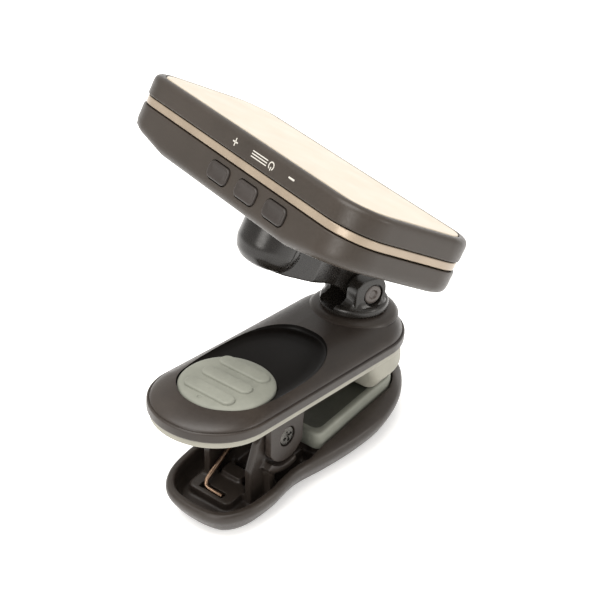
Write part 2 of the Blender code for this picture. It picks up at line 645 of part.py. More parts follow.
head_arm = piece(
    "head_arm", "neck_plastic", head_axis, across(tongue_side, -6, 6),
    keep(prism(tongue_plan, -6, 9)) + join(core)
    + cut(rod_y(PIN_R + RUN, -9, 9),
          prism(circle(2.2, 20, HUB_X), -3, HUB_LOW + 3.6), prism(circle(1.15, 16, HUB_X), 0, 9)),
)
hub_screw = piece(
    "hub_screw", "steel", head_axis,
    loft([at(circle(1.6, 16, HUB_X), 0.9), at(circle(1.9, 16, HUB_X), 1.25),
          at(circle(1.9, 16, HUB_X), HUB_LOW + 3.45), at(circle(0.95, 16, HUB_X), HUB_LOW + 3.45),
          at(circle(0.95, 16, HUB_X), 11.4)]),
)
inner_r = core_r + GAP
hub_cover = piece(
    "hub_cover", "neck_plastic", head_axis,
    loft([at(circle(r, 28, HUB_X), z) for r, z in (
        (COVER_R - 3.2, HUB_LOW), (COVER_R - 1.7, HUB_LOW + 0.45), (COVER_R - 0.6, HUB_LOW + 1.5),
        (COVER_R, HUB_LOW + 3.2), (COVER_R, hub_top), (inner_r, hub_top), (inner_r, HUB_LOW + COVER_T + 2.8),
        (inner_r - 0.3, HUB_LOW + COVER_T + 1.3), (inner_r - 1.3, HUB_LOW + COVER_T + 0.3),
        (inner_r - 3.0, HUB_LOW + COVER_T + 0.1))]),
    cut(box(HUB_X + 1.0, 0, -9, 9, -5, 12),
        box(HUB_X - 2 - GAP, 0, -TONGUE - GAP, TONGUE + knuckle_mid + GAP, HUB_LOW - 1, 4.2 + GAP)),
)

# ---- Head shells: bezel, accent band and rear shell ----


def head_loop(d, n=4):
    return rounded(HEAD_S - 2 * d, HEAD_L - 2 * d, max(HEAD_R - d, 0.6), HEAD_X, 0, n)


bezel_low = FACE_Z - BEZEL_T + GAP / 2
stripe_top = FACE_Z - BEZEL_T - GAP / 2
stripe_low = FACE_Z - BEZEL_T - BAND_T + GAP / 2
shell_top = FACE_Z - BEZEL_T - BAND_T - GAP / 2
lens_low = FACE_Z - 1.05
ledge_low = lens_low - 0.95
BOSSES = [(HEAD_X + s * (HEAD_S / 2 - BOSS_X_IN), BOSS_Y_IN - HEAD_L / 2) for s in (-1, 1)]
inner_floor = back_z + 2.4
front_bezel = piece(
    "front_bezel", "head_plastic", head_axis,
    loft([at(head_loop(d), z) for d, z in (
        (0.12, bezel_low), (0, bezel_low + 0.12), (0, FACE_Z - 1.0), (0.14, FACE_Z - 0.5),
        (0.5, FACE_Z - 0.16), (1.05, FACE_Z), (BEZEL_RIM, FACE_Z), (BEZEL_RIM, lens_low - GAP),
        (3.0, lens_low - GAP), (3.0, ledge_low), (SHELL_WALL, ledge_low), (SHELL_WALL, bezel_low))],
         ring=True),
    join(*[prism(circle(1.8, 16, x, y), inner_floor + 0.3, ledge_low + 0.3) for x, y in BOSSES])
    + cut(*[prism(circle(1.0, 16, x, y), inner_floor - 1, ledge_low - 0.6) for x, y in BOSSES]),
)
lens = BEZEL_RIM + GAP
screen_lens = piece("screen_lens", "lens_clear", head_axis,
                    loft([at(head_loop(lens), lens_low), at(head_loop(lens), FACE_Z - 0.1),
                          at(head_loop(lens + 0.12), FACE_Z + 0.02)]))
lcd_panel = piece("lcd_panel", "lcd_glass", head_axis,
                  prism(rounded(17.6, 45.4, 0.6, HEAD_X), lens_low - 1.55, lens_low - 0.3))
backlight = piece("backlight", "light_guide", head_axis,
                  prism(rounded(17.6, 45.4, 0.6, HEAD_X), lens_low - 2.65, lens_low - 1.7))
accent_band = piece(
    "accent_band", "band_paint", head_axis,
    loft([at(head_loop(d), z) for d, z in (
        (0.35, stripe_low), (0.22, stripe_low + 0.13), (0.22, stripe_top - 0.13), (0.35, stripe_top),
        (SHELL_WALL, stripe_top), (SHELL_WALL, stripe_low))], ring=True),
)
rise = (HEAD_T - END_T) / (HEAD_L / 2 - SLOPE_Y)


def back_at(y):
    return back_z + max(0.0, abs(y) - SLOPE_Y) * rise


def end_wedge(side):
    y_out = HEAD_L / 2 + 2
    return along([(side * SLOPE_Y, back_z), (side * y_out, back_at(y_out)), (side * y_out, back_z - 3),
                  (side * SLOPE_Y, back_z - 3)], HEAD_X - 20, HEAD_X + 20)


DOOR_Y0, DOOR_HALF, DOOR_T = 7.6, 10.9, 1.0
wall_x = HEAD_X - HEAD_S / 2  # outside of the wall with the buttons
button_z = FACE_Z - BUTTON_DEPTH
holes = []
for _, y in BUTTONS:
    v, f = prism(rounded(BUTTON_H + 2 * GAP, BUTTON_W + 2 * GAP, 1.0 + GAP, 0, y), 0, 3)
    holes.append((np.column_stack([wall_x - 1 + v[:, 2], v[:, 1], button_z - v[:, 0]]), f))
button_room = box(wall_x + SHELL_WALL, wall_x + 4.2, BUTTONS[-1][1] - 3.9, BUTTONS[0][1] + 3.9,
                  back_z + 1.25, shell_top + 1)
doorway = along([(DOOR_Y0 - GAP, back_z - 2), (SLOPE_Y, back_z - 2), (33, back_at(33) - 2),
                 (33, back_at(33) + DOOR_T + GAP), (SLOPE_Y, back_z + DOOR_T + GAP),
                 (DOOR_Y0 - GAP, back_z + DOOR_T + GAP)], HEAD_X - DOOR_HALF - GAP, HEAD_X + DOOR_HALF + GAP)
rear_shell = piece(
    "rear_shell", "head_plastic", head_axis,
    loft([at(head_loop(d), z) for d, z in (
        (1.7, back_z), (0.7, back_z + 0.22), (0.15, back_z + 0.75), (0, back_z + 1.5), (0, shell_top - 0.12),
        (0.12, shell_top), (SHELL_WALL, shell_top), (SHELL_WALL, inner_floor + 0.5),
        (SHELL_WALL + 0.5, inner_floor))]),
    join(prism(circle(3.0, 16, HUB_X), inner_floor - 0.4, inner_floor + 2.2))
    + cut(end_wedge(-1), end_wedge(1), button_room, *holes, doorway,
          prism(circle(CELL_R + 0.3, 32, HEAD_X, CELL_Y), back_z - 2, inner_floor + 1),
          prism(circle(1.1, 16, HUB_X), back_z - 1, inner_floor + 3),
          *[prism(circle(1.1, 16, x, y), back_z - 1, inner_floor + 1) for x, y in BOSSES],
          *[prism(circle(1.9, 16, x, y), back_z - 1, back_at(y) + 0.75) for x, y in BOSSES]),
)
grips = [box(HEAD_X - 4.5, HEAD_X + 4.5, y, y + 0.9, back_z - 1, back_z + 0.35) for y in (10.2, 12.2, 14.2)]
battery_door = piece(
    "battery_door", "head_plastic", head_axis,
    along([(DOOR_Y0, back_z), (SLOPE_Y, back_z), (33, back_at(33)), (33, back_at(33) + DOOR_T),
           (SLOPE_Y, back_z + DOOR_T), (DOOR_Y0, back_z + DOOR_T)], HEAD_X - DOOR_HALF, HEAD_X + DOOR_HALF),
    keep(prism(head_loop(0.1), back_z - 3, back_z + 6)) + cut(*grips),
)
for k, (x, y) in enumerate(BOSSES, 1):
    low_z = back_at(y) + 0.15
    piece(f"case_screw_{k}", "steel", head_axis,
          loft([at(circle(1.3, 16, x, y), low_z), at(circle(1.6, 16, x, y), low_z + 0.25),
                at(circle(1.6, 16, x, y), back_at(y) + 0.6), at(circle(0.85, 16, x, y), back_at(y) + 0.6),
                at(circle(0.85, 16, x, y), ledge_low - 1.2)]),
          cut(box(x - 1.0, x + 1.0, y - 0.25, y + 0.25, low_z - 1, low_z + 0.22),
              box(x - 0.25, x + 0.25, y - 1.0, y + 1.0, low_z - 1, low_z + 0.22)))

# ---- Buttons and what they press ----

board_z0 = lens_low - 3.4
board_z1 = board_z0 + 0.6
flange_x = wall_x + SHELL_WALL + GAP
for name, y in BUTTONS:
    loops = []
    for grow, x in ((-0.5, wall_x - BUTTON_OUT), (-0.12, wall_x - BUTTON_OUT + 0.12), (0, wall_x - 0.05),
                    (0, flange_x), (0.8, flange_x), (0.8, flange_x + 0.6)):
        flat = rounded(BUTTON_H + grow, BUTTON_W + grow, 1.0 + grow / 2, 0, y)
        loops.append(np.column_stack([np.full(len(flat), x), flat[:, 1], button_z - flat[:, 0]]))
    piece(f"button_{name}", "button_plastic", head_axis, loft(loops))
    x0 = flange_x + 0.6 + BUTTON_TRAVEL + 0.1
    piece(f"switch_{name}", "chip", head_axis,
          box(x0 + 0.4, x0 + 2.6, y - 2.0, y + 2.0, button_z - 0.6, board_z0 - GAP),
          join(moved(turned(prism(circle(0.7, 12), 0, 0.6), "x"), x0, y, button_z + 0.2)))

# ---- Inside the head: board, chip, vibration sensor, coin cell and its contacts ----

circuit_board = piece("circuit_board", "board", head_axis,
                      prism(rounded(21.6, 50.6, 4.3, HEAD_X, 2.4), board_z0, board_z1))
tuner_chip = piece("tuner_chip", "chip", head_axis,
                   box(HEAD_X + 3, HEAD_X + 8.5, -11, -5.5, board_z0 - GAP - 0.9, board_z0 - GAP))
piezo_sensor = piece("piezo_sensor", "brass", head_axis,
                     prism(circle(3.8, 24, HEAD_X + 3.5, -17.5), board_z0 - GAP - 0.7, board_z0 - GAP))
cell_z0 = inner_floor
coin_cell = piece(
    "coin_cell", "cell_steel", head_axis,
    loft([at(circle(r, 32, HEAD_X, CELL_Y), z) for r, z in (
        (CELL_R - 1.2, cell_z0), (CELL_R - 1.0, cell_z0 + 0.35), (CELL_R - 0.3, cell_z0 + 0.4),
        (CELL_R, cell_z0 + 0.8), (CELL_R, cell_z0 + CELL_T - 0.25), (CELL_R - 0.3, cell_z0 + CELL_T))]),
)
cell_top = cell_z0 + CELL_T
contact_plus = piece("contact_plus", "brass", head_axis,
                     box(HEAD_X - 1.5, HEAD_X + 1.5, CELL_Y - 6, CELL_Y + 6,
                         cell_top + 0.12, board_z0 - 0.12))
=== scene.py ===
import json
import math

import bmesh
import bpy
import numpy as np
from mathutils import Matrix, Vector


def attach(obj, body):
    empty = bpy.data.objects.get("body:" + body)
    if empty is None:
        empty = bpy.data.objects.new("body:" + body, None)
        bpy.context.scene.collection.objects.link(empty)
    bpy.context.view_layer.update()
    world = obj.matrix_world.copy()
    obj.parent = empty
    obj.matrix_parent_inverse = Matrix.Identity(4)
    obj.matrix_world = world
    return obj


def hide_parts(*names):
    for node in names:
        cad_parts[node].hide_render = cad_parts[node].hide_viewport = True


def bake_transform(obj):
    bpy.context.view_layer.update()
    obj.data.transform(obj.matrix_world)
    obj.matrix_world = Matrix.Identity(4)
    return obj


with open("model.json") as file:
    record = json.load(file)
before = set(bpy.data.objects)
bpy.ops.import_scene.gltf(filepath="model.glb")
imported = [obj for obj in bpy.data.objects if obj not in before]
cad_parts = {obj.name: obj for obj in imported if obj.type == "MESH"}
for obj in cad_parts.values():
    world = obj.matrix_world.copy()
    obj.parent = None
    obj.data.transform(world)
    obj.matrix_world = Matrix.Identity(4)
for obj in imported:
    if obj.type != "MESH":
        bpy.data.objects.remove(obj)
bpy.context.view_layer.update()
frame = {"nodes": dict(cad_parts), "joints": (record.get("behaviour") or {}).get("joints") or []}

# ---- Lower arm of the clip ----
# A moulded tray of glass-filled nylon. Two lugs carry the pivot, a rib on each side cups the
# upper arm's ear, and a block on the floor holds the spring's hooked end. Its parting edges
# are rounded in the mould and its surface is finely spark-eroded, so it looks satin.

MM = 0.001
GAP = 0.15  # clearance between two pieces that sit together
joints = {joint["name"]: joint for joint in frame["joints"]}
pivot = Vector(joints["clip_open"]["pos_m"])


def place_at(origin, x, y, z):
    """Where a piece's own directions lie in the object, for sizes in millimetres."""
    place = Matrix((x, y, z)).transposed().to_4x4()
    place.translation = origin
    return place @ Matrix.Scale(MM, 4)


base_place = place_at(pivot, Vector((1, 0, 0)), Vector((0, 1, 0)), Vector((0, 0, 1)))


def circle(r, n=72, x=0.0, y=0.0):
    t = np.arange(n) * 2 * math.pi / n
    return np.column_stack([x + r * np.cos(t), y + r * np.sin(t)])


def rounded(long_x, long_y, r, x=0.0, y=0.0, n=10):
    """A rectangle with round corners."""
    loop = []
    for cx, cy, a in ((1, 1, 0), (-1, 1, 90), (-1, -1, 180), (1, -1, 270)):
        t = np.radians(a + 90 * np.arange(n + 1) / n)
        loop += list(zip(x + cx * (long_x / 2 - r) + r * np.cos(t),
                         y + cy * (long_y / 2 - r) + r * np.sin(t)))
    return np.array(loop)


def inset(loop, d):
    """Moves each point of a loop inwards along its own normal."""
    t = np.roll(loop, -1, 0) - np.roll(loop, 1, 0)
    t /= np.maximum(np.linalg.norm(t, axis=1), 1e-9)[:, None]
    return loop + d * np.column_stack([-t[:, 1], t[:, 0]])


def at(loop, z):
    return np.column_stack([loop, np.full(len(loop), z) if np.isscalar(z) else z])


def eased(rings, r=0.3, n=4, closed=False):
    """Rounds the edge at each ring of a wall by up to r, as a mould's cutter does."""
    rings = [np.asarray(ring, float) for ring in rings]
    out = []
    for k, here in enumerate(rings):
        if not closed and k in (0, len(rings) - 1):
            out.append(here)
            continue
        ends = []
        for near in (rings[k - 1], rings[(k + 1) % len(rings)]):
            way = near - here
            far = np.maximum(np.linalg.norm(way, axis=1), 1e-9)[:, None]
            ends.append(here + way * np.minimum(0.48, r / far))
        for j in range(n + 1):
            t = j / n
            out.append((1 - t) ** 2 * ends[0] + 2 * t * (1 - t) * here + t * t * ends[1])
    return out


def walls(rings, closed=False):
    """Skins the rings in order, and caps both ends or closes the wall on itself."""
    n = len(rings[0])
    faces = []
    for k in range(len(rings) - (0 if closed else 1)):
        a, b = k * n, (k + 1) % len(rings) * n
        faces += [(a + i, a + (i + 1) % n, b + (i + 1) % n, b + i) for i in range(n)]
    if not closed:
        faces += [tuple(range(n))[::-1], tuple(range((len(rings) - 1) * n, len(rings) * n))]
    return np.vstack(rings), faces


def turned(profile, n=96, x=0.0):
    """The rings of a shape turned on a lathe, from its radii and heights."""
    return [at(circle(r, n, x), z) for r, z in profile]


def prism(loop, z0, z1, edge=0.0):
    """A straight block on a flat outline, its two rims broken by edge."""
    if not edge:
        return walls([at(loop, z0), at(loop, z1)])
    broken = inset(loop, edge)
    return walls(eased([at(broken, z0), at(loop, z0), at(loop, z1), at(broken, z1)], edge, 3))


def box(x0, x1, y0, y1, z0, z1):
    return prism(np.array([(x0, y0), (x1, y0), (x1, y1), (x0, y1)], float), z0, z1)


def laid(shape):
    """Lays a shape made along Z down along Y."""
    v, f = shape
    return np.column_stack([v[:, 0], v[:, 2], -v[:, 1]]), f


def slab(profile, y0, y1, edge=0.0):
    """A plate whose outline is drawn in X and Z, from y0 to y1."""
    p = np.asarray(profile, float)
    area = sum(p[i - 1][0] * p[i][1] - p[i][0] * p[i - 1][1] for i in range(len(p)))
    if area < 0:
        p = p[::-1]
    return laid(prism(np.column_stack([p[:, 0], -p[:, 1]])[::-1], y0, y1, edge))


def bore(r, y0, y1, x=0.0, z=0.0, n=72):
    """A round hole or rod along Y."""
    v, f = laid(prism(circle(r, n), y0, y1))
    return v + np.array([x, 0, z]), f


def arc(r, a0, a1, n):
    t = np.radians(a0 + (a1 - a0) * np.arange(n + 1) / n)
    return list(zip(r * np.cos(t), r * np.sin(t)))


def mesh_of(shape, place, name):
    v, f = shape
    made = bpy.data.meshes.new(name)
    made.from_pydata(np.asarray(v).tolist(), [], f)
    made.transform(place)
    made.update()
    return made


def linked(name, data):
    made = bpy.data.objects.new(name, data)
    bpy.context.scene.collection.objects.link(made)
    return made


def combine(piece, shape, place, operation, finish=None):
    """Joins a shape to the piece or cuts it out. The faces that a cut leaves take its finish."""
    tool = linked("tool", mesh_of(shape, place, "tool"))
    step = piece.modifiers.new("step", "BOOLEAN")
    step.operation, step.object, step.solver = operation, tool, "EXACT"
    if finish:
        tool.data.materials.append(finish)
        step.material_mode = "TRANSFER"
    finish_steps(piece)
    bpy.data.objects.remove(tool, do_unlink=True)


def finish_steps(piece):
    """Turns the piece's modifiers into plain mesh."""
    graph = bpy.context.evaluated_depsgraph_get()
    made = bpy.data.meshes.new_from_object(piece.evaluated_get(graph))
    piece.modifiers.clear()
    piece.data = made


def moulded(name, shape, place, joins=(), cuts=()):
    """A moulded piece: its main form, what is joined to it, then what the mould's pins leave open."""
    piece = linked(name, mesh_of(shape, place, name))
    for part in joins:
        combine(piece, part, place, "UNION")
    for part in cuts:
        combine(piece, part, place, "DIFFERENCE")
    return piece


def soften(piece, cell, passes):
    """Melts the joins of a moulding into each other, as fillets in the mould do."""
    skin = piece.modifiers.new("skin", "REMESH")
    skin.mode, skin.voxel_size = "VOXEL", cell * MM
    ease = piece.modifiers.new("ease", "SMOOTH")
    ease.factor, ease.iterations = 0.5, passes
    finish_steps(piece)


def dress(piece, body, slot, finish, *nodes, angle=38):
    """Shades the piece, gives it its finish and fixes it to the body that it moves with."""
    piece.data.name = piece.name
    if finish:
        piece.data.materials.clear()
        piece.data.materials.append(finish)
    piece.data.shade_smooth()
    piece.data.set_sharp_from_angle(angle=math.radians(angle))
    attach(piece, body)
    if nodes:
        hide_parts(*nodes)
    return piece


def add(tree, kind, **settings):
    """One node of a material or a geometry tree. A setting that isn't a property is an input."""
    node = tree.nodes.new(kind)
    for key, value in settings.items():
        if hasattr(node, key):
            setattr(node, key, value)
            continue
        socket = node.inputs[int(key[1:]) if key[0] == "i" and key[1:].isdigit() else key.replace("_", " ")]
        if isinstance(value, bpy.types.NodeSocket):
            tree.links.new(value, socket)
        else:
            socket.default_value = value
    return node


def finish_of(name, dark, light, rough, metal=0.0, grain=0.12, relief=0.012, patch=6.0, spread=0.06,
              edge=0.12, wear_and_sheen=0.0, coat=0.0, stretch=(1, 1, 1), level=0.5):
    """A finish: colour that drifts from dark to light over patches of so many millimetres, a grain of that
    pitch and relief in millimetres, gloss that varies, and edges that are softened and turned paler, partly
    as rubbed wear and partly as a painted highlight."""
    made = bpy.data.materials.new(name)
    made.use_nodes = True
    tree = made.node_tree
    shader = tree.nodes["Principled BSDF"]
    where = add(tree, "ShaderNodeTexCoord").outputs["Object"]
    where = add(tree, "ShaderNodeMapping", Vector=where, Scale=stretch).outputs[0]
    drift, speck, fine = (
        add(tree, "ShaderNodeTexNoise", Vector=where, Scale=1 / (pitch * MM), Detail=detail).outputs["Fac"]
        for pitch, detail in ((patch, 3.0), (grain * 4, 2.0), (grain, 2.0)))
    tone = add(tree, "ShaderNodeMath", operation="MULTIPLY_ADD", i0=speck, i1=0.35, i2=drift).outputs[0]
    tone = add(tree, "ShaderNodeMapRange", Value=tone, From_Min=0.45, From_Max=0.9).outputs[0]
    colour = add(tree, "ShaderNodeMix", data_type="RGBA", i0=tone, i6=(*dark, 1), i7=(*light, 1)).outputs[2]
    gloss = add(tree, "ShaderNodeMapRange", Value=speck, From_Min=0.3, From_Max=0.7,
                To_Min=rough - spread, To_Max=rough + spread).outputs[0]
    normal = None
    if edge:
        normal = add(tree, "ShaderNodeBevel", samples=4, Radius=edge * MM).outputs[0]
    # Edges turn paler: partly rubbed wear, partly a painted highlight in place of the bright surroundings
    # caught on rounded edges.
    if wear_and_sheen:
        flat = add(tree, "ShaderNodeNewGeometry").outputs["Normal"]
        same = add(tree, "ShaderNodeVectorMath", operation="DOT_PRODUCT", i0=normal, i1=flat).outputs["Value"]
        rubbed_and_sheen = add(tree, "ShaderNodeMapRange", Value=same, From_Min=0.995, From_Max=0.85,
                     To_Min=0.0, To_Max=wear_and_sheen).outputs[0]
        rubbed_and_sheen = add(tree, "ShaderNodeMath", operation="MULTIPLY", i0=rubbed_and_sheen, i1=speck).outputs[0]
        pale = tuple(min(1.0, 1.9 * c + 0.02) for c in light)
        colour = add(tree, "ShaderNodeMix", data_type="RGBA", i0=rubbed_and_sheen, i6=colour, i7=(*pale, 1)).outputs[2]
    bump = add(tree, "ShaderNodeBump", Height=fine, Strength=0.6, Distance=relief * MM)
    if normal:
        tree.links.new(normal, bump.inputs["Normal"])
    tree.links.new(colour, shader.inputs["Base Color"])
    tree.links.new(gloss, shader.inputs["Roughness"])
    tree.links.new(bump.outputs[0], shader.inputs["Normal"])
    shader.inputs["Metallic"].default_value = metal
    shader.inputs["Coat Weight"].default_value = coat
    shader.inputs["Specular IOR Level"].default_value = level
    made.diffuse_color = (*light, 1)
    return made


PIVOT_H, WALL, FLOOR = 11.05, 1.35, 1.45
RIM_Z, RIM_RISE = -5.7, 1.1
JAW_Z, PAD_X0, PAD_X1, PAD_HALF, PAD_T, PAD_REACH, FIT = -3.0, 5.6, 29.2, 8.0, 3.6, 6.0, 0.25
RUN, SLEEVE_R, PIVOT_R = 0.08, 1.6, 0.9
EAR_R, EAR_OUT, EAR_T = 4.4, 6.4, 1.2
LUG_R, LUG_OUT, LUG_T = 3.8, 4.95, 1.2
CRADLE_R, CRADLE_T = 5.1, 1.2
SEAT_X, SEAT_Z, HOOK_Y0, HOOK_Y1 = -10.3, -8.0, -0.9, 3.0
HALF_WIDTHS = ((-17.3, 0), (-16.3, 5.3), (-12.6, 8.3), (-7.0, 9.2), (-0.5, 8.9), (6.0, 10.4),
               (12.5, 11.5), (18.5, 11.6), (24.5, 10.0), (29.0, 7.2), (31.5, 4.2), (32.3, 0))
low = -PIVOT_H
floor_z = low + FLOOR


def through(points, steps):
    """A smooth closed loop through the points."""
    p = np.asarray(points, float)
    out = []
    for k in range(len(p)):
        a, b, c, d = p[k - 1], p[k], p[(k + 1) % len(p)], p[(k + 2) % len(p)]
        for j in range(steps):
            t = j / steps
            out.append(0.5 * (2 * b + (c - a) * t + (2 * a - 5 * b + 4 * c - d) * t**2
                              + (3 * b - a - 3 * c + d) * t**3))
    return np.array(out)


def pad_loop(x0, x1, half, r, reach):
    """Straight across at the back, round at the tip."""
    loop = [(x0 + r - r * math.cos(t), -half + r - r * math.sin(t))
            for t in np.radians(np.linspace(0, 90, 9))]
    loop += [(x1 - reach + reach * math.sin(t), -half * math.cos(t))
             for t in np.radians(np.linspace(0, 90, 19))]
    return np.array(loop + [(x, -y) for x, y in loop[::-1][1:]])


outline = through([(x, -w) for x, w in HALF_WIDTHS[:-1]] + [(x, w) for x, w in HALF_WIDTHS[:0:-1]], 8)


def tray_loop(d):
    """Inside of the tray: it follows the outline, then closes in around the jaw pad."""
    loop = inset(outline, d)
    x = np.minimum(loop[:, 0], PAD_X1 + FIT + WALL - d)
    tip = np.clip((x - (PAD_X1 - PAD_REACH)) / (PAD_REACH + FIT + WALL - d), 0, 1)
    most = (PAD_HALF + FIT + WALL - d) * np.sqrt(1 - tip**2)
    return np.column_stack([x, np.clip(loop[:, 1], -most, most)])


def rim_height(loop, share):
    """The rim stands higher beside the jaw pad."""
    t = np.clip((loop[:, 0] - 1.0) / 6.0, 0, 1)
    far = np.clip((loop[:, 0] - PAD_X0) / (PAD_X1 - PAD_X0), 0, 1)
    return RIM_Z + share * RIM_RISE * (t * t * (3 - 2 * t)) * (0.5 + 0.5 * far)


shoulder, inner = inset(outline, 0.45), tray_loop(WALL)
middle = (shoulder + inner) / 2
tray = walls(eased([
    at(inset(outline, 2.8), low), at(inset(outline, 2.2), low + 0.4), at(inset(outline, 1.1), low + 1.8),
    at(inset(outline, 0.25), low + 3.4), at(outline, RIM_Z - 1.3), at(outline, RIM_Z - 0.45),
    at(shoulder, rim_height(shoulder, 0.1)), at(middle, rim_height(middle, 0.7)),
    at(inner, rim_height(inner, 1.0)), at(tray_loop(WALL + 0.15), rim_height(inner, 1.0) - 0.3),
    at(tray_loop(WALL + 0.15), floor_z + 1.2), at(tray_loop(WALL + 1.0), floor_z),
], 0.6))
lug = ([(-8.3, floor_z - 0.5), (5.2, floor_z - 0.5), (5.2, -5.2)] + arc(LUG_R, -10, 90, 24)
       + [(-4.4, 2.2), (-5.5, 1.35), (-7.7, -2.95)])
cradle = arc(CRADLE_R, 215, 335, 30) + arc(CRADLE_R + CRADLE_T, 335, 215, 30)
joins = [prism(rounded(2.6, 4.2, 0.6, SEAT_X + 4.9, 0.6), floor_z - 0.5, SEAT_Z + 0.8),
         prism(rounded(5.4, 8.8, 1.2, SEAT_X + 1.3, 1.2), floor_z - 0.5, SEAT_Z),
         prism(rounded(PAD_X1 - PAD_X0 - 6, 2 * PAD_HALF - 2.4, 2.5, (PAD_X0 + PAD_X1) / 2 - 1.5, 0),
               floor_z - 0.5, JAW_Z - PAD_T - GAP)]
joins += [box(x, x + 0.9, -6.6, 6.6, floor_z - 0.5, floor_z + 0.9) for x in (-3.0, 4.0)]
for side in (-1, 1):
    joins.append(slab(lug, *sorted((side * (LUG_OUT - LUG_T), side * LUG_OUT))))
    joins.append(slab(cradle, *sorted((side * (LUG_OUT - 0.6), side * (EAR_OUT + 0.2)))))
    foot = sorted((side * (LUG_OUT - 0.5), side * (EAR_OUT - 0.3)))
    joins.append(box(-4.6, -3.3, *foot, floor_z - 0.5, -CRADLE_R + 0.2))
pad_room = prism(pad_loop(PAD_X0 - 4, PAD_X1 + FIT, PAD_HALF + FIT, 1.4, PAD_REACH + FIT),
                 JAW_Z - PAD_T - GAP, RIM_Z + 5)
lower_arm = moulded("lower_arm_moulding", tray, base_place, joins)
combine(lower_arm, pad_room, base_place, "DIFFERENCE")
soften(lower_arm, 0.24, 3)
for opening in (box(SEAT_X - 0.65, SEAT_X + 0.65, HOOK_Y0 - 0.5, HOOK_Y1 + 0.6, SEAT_Z - 1.15, SEAT_Z + 2),
                bore(SLEEVE_R + RUN, -LUG_OUT - 1, LUG_OUT + 1)):
    combine(lower_arm, opening, base_place, "DIFFERENCE")
clip_plastic = finish_of("clip_plastic_satin", (0.022, 0.017, 0.014), (0.032, 0.025, 0.020), 0.38,
                         grain=0.10, relief=0.008, wear_and_sheen=0.35, level=0.34)
dress(lower_arm, "clip_base", "clip_plastic", clip_plastic, "lower_arm")

# ---- Lower jaw pad ----
# A block of soft grey rubber that is pushed into the tray. Its flat top is coloured dark as painted shade
# from the upper arm above it, and a paler raised rim is left round that.


def pad_ring(d, z):
    return at(pad_loop(PAD_X0 + d, PAD_X1 - d, PAD_HALF - d, 1.4, PAD_REACH - d / 2), z)


pad_top = JAW_Z - GAP / 2
pad_low = JAW_Z - PAD_T
lower_pad = moulded("lower_pad_block", walls(eased([
    pad_ring(d, z) for d, z in (
        (0.2, pad_low), (0, pad_low + 0.3), (0, pad_top - 0.35), (0.12, pad_top - 0.12),
        (0.4, pad_top), (0.9, pad_top), (1.2, pad_top - 0.16))], 0.3)), base_place)
grey_rubber = finish_of("grey_rubber", (0.155, 0.16, 0.133), (0.20, 0.205, 0.172), 0.66,
                        grain=0.16, relief=0.02, spread=0.05, edge=0.1)
# Painted shade: this darker rubber stands in for the shadow of the upper arm on the pad's top.
painted_shade_rubber = finish_of("painted_shade_rubber", (0.030, 0.032, 0.025), (0.045, 0.047, 0.037), 0.42,
                          grain=0.2, relief=0.015, patch=9.0, edge=0.0)
dress(lower_pad, "clip_base", "grey_rubber", grey_rubber, "lower_pad", angle=50)
lower_pad.data.materials.append(painted_shade_rubber)
# Up-facing flat faces take the darker rubber, which is painted shade under the upper arm.
for face in lower_pad.data.polygons:
    if len(face.vertices) > 4 and face.normal.z > 0.9:
        face.material_index = 1

# ---- Upper arm of the clip ----
# A crowned lever of the same nylon: a hollow cap with a fine groove over its side band, a polished dish for
# the thumb whose near-black colour is a painted reflection of the head's dark underside, two ears for the
# pivot and a swelling under the neck.

lever_z = Vector(joints["neck_turn"]["axis"])
lever_y = -Vector(joints["clip_open"]["axis"])
lever_x = lever_y.cross(lever_z)
lever_place = place_at(pivot, lever_x, lever_y, lever_z)
JAW_ANGLE = math.atan2(-lever_x.z, lever_x.x)
ARM_R, ARM_X0, ARM_X1, ARM_RIM_Z, ARM_BAND, ARM_CEILING = 10.25, -11.0, 21.3, 9.3, 1.65, 8.3
ARM_CROWN, CROWN_FALL = 2.8, 0.0139
DISH_X, DISH_A, DISH_B, DISH_RISE = -1.8, 14.0, 8.6, 1.3
THUMB_X, THUMB_A, THUMB_B, THUMB_RISE = -8.0, 7.5, 7.6, 2.85
TURRET_X, COLLAR_R, SPIGOT_R, WELL_Z, SCREW_SEAT = 23.6, 5.75, 2.5, 10.3, 0.65


def stadium(x0, x1, r, n=48):
    t = np.radians(180 * np.arange(n + 1) / n)
    return np.vstack([np.column_stack([x1 + r * np.sin(t), -r * np.cos(t)]),
                      np.column_stack([x0 - r * np.sin(t), r * np.cos(t)])])


def oval(a, b, x, power, n=144):
    t = np.arange(n) * 2 * math.pi / n
    c, s = np.cos(t), np.sin(t)
    return np.column_stack([x + a * np.sign(c) * abs(c) ** (2 / power),
                            b * np.sign(s) * abs(s) ** (2 / power)])


def arm_loop(d):
    return stadium(ARM_X0, ARM_X1, ARM_R - d)


def crowned(loop, rise):
    """Lays a loop at a height over the rim that falls off towards the thumb end."""
    return at(loop, ARM_RIM_Z + rise * (1 + (loop[:, 0] - ARM_X1) * CROWN_FALL))


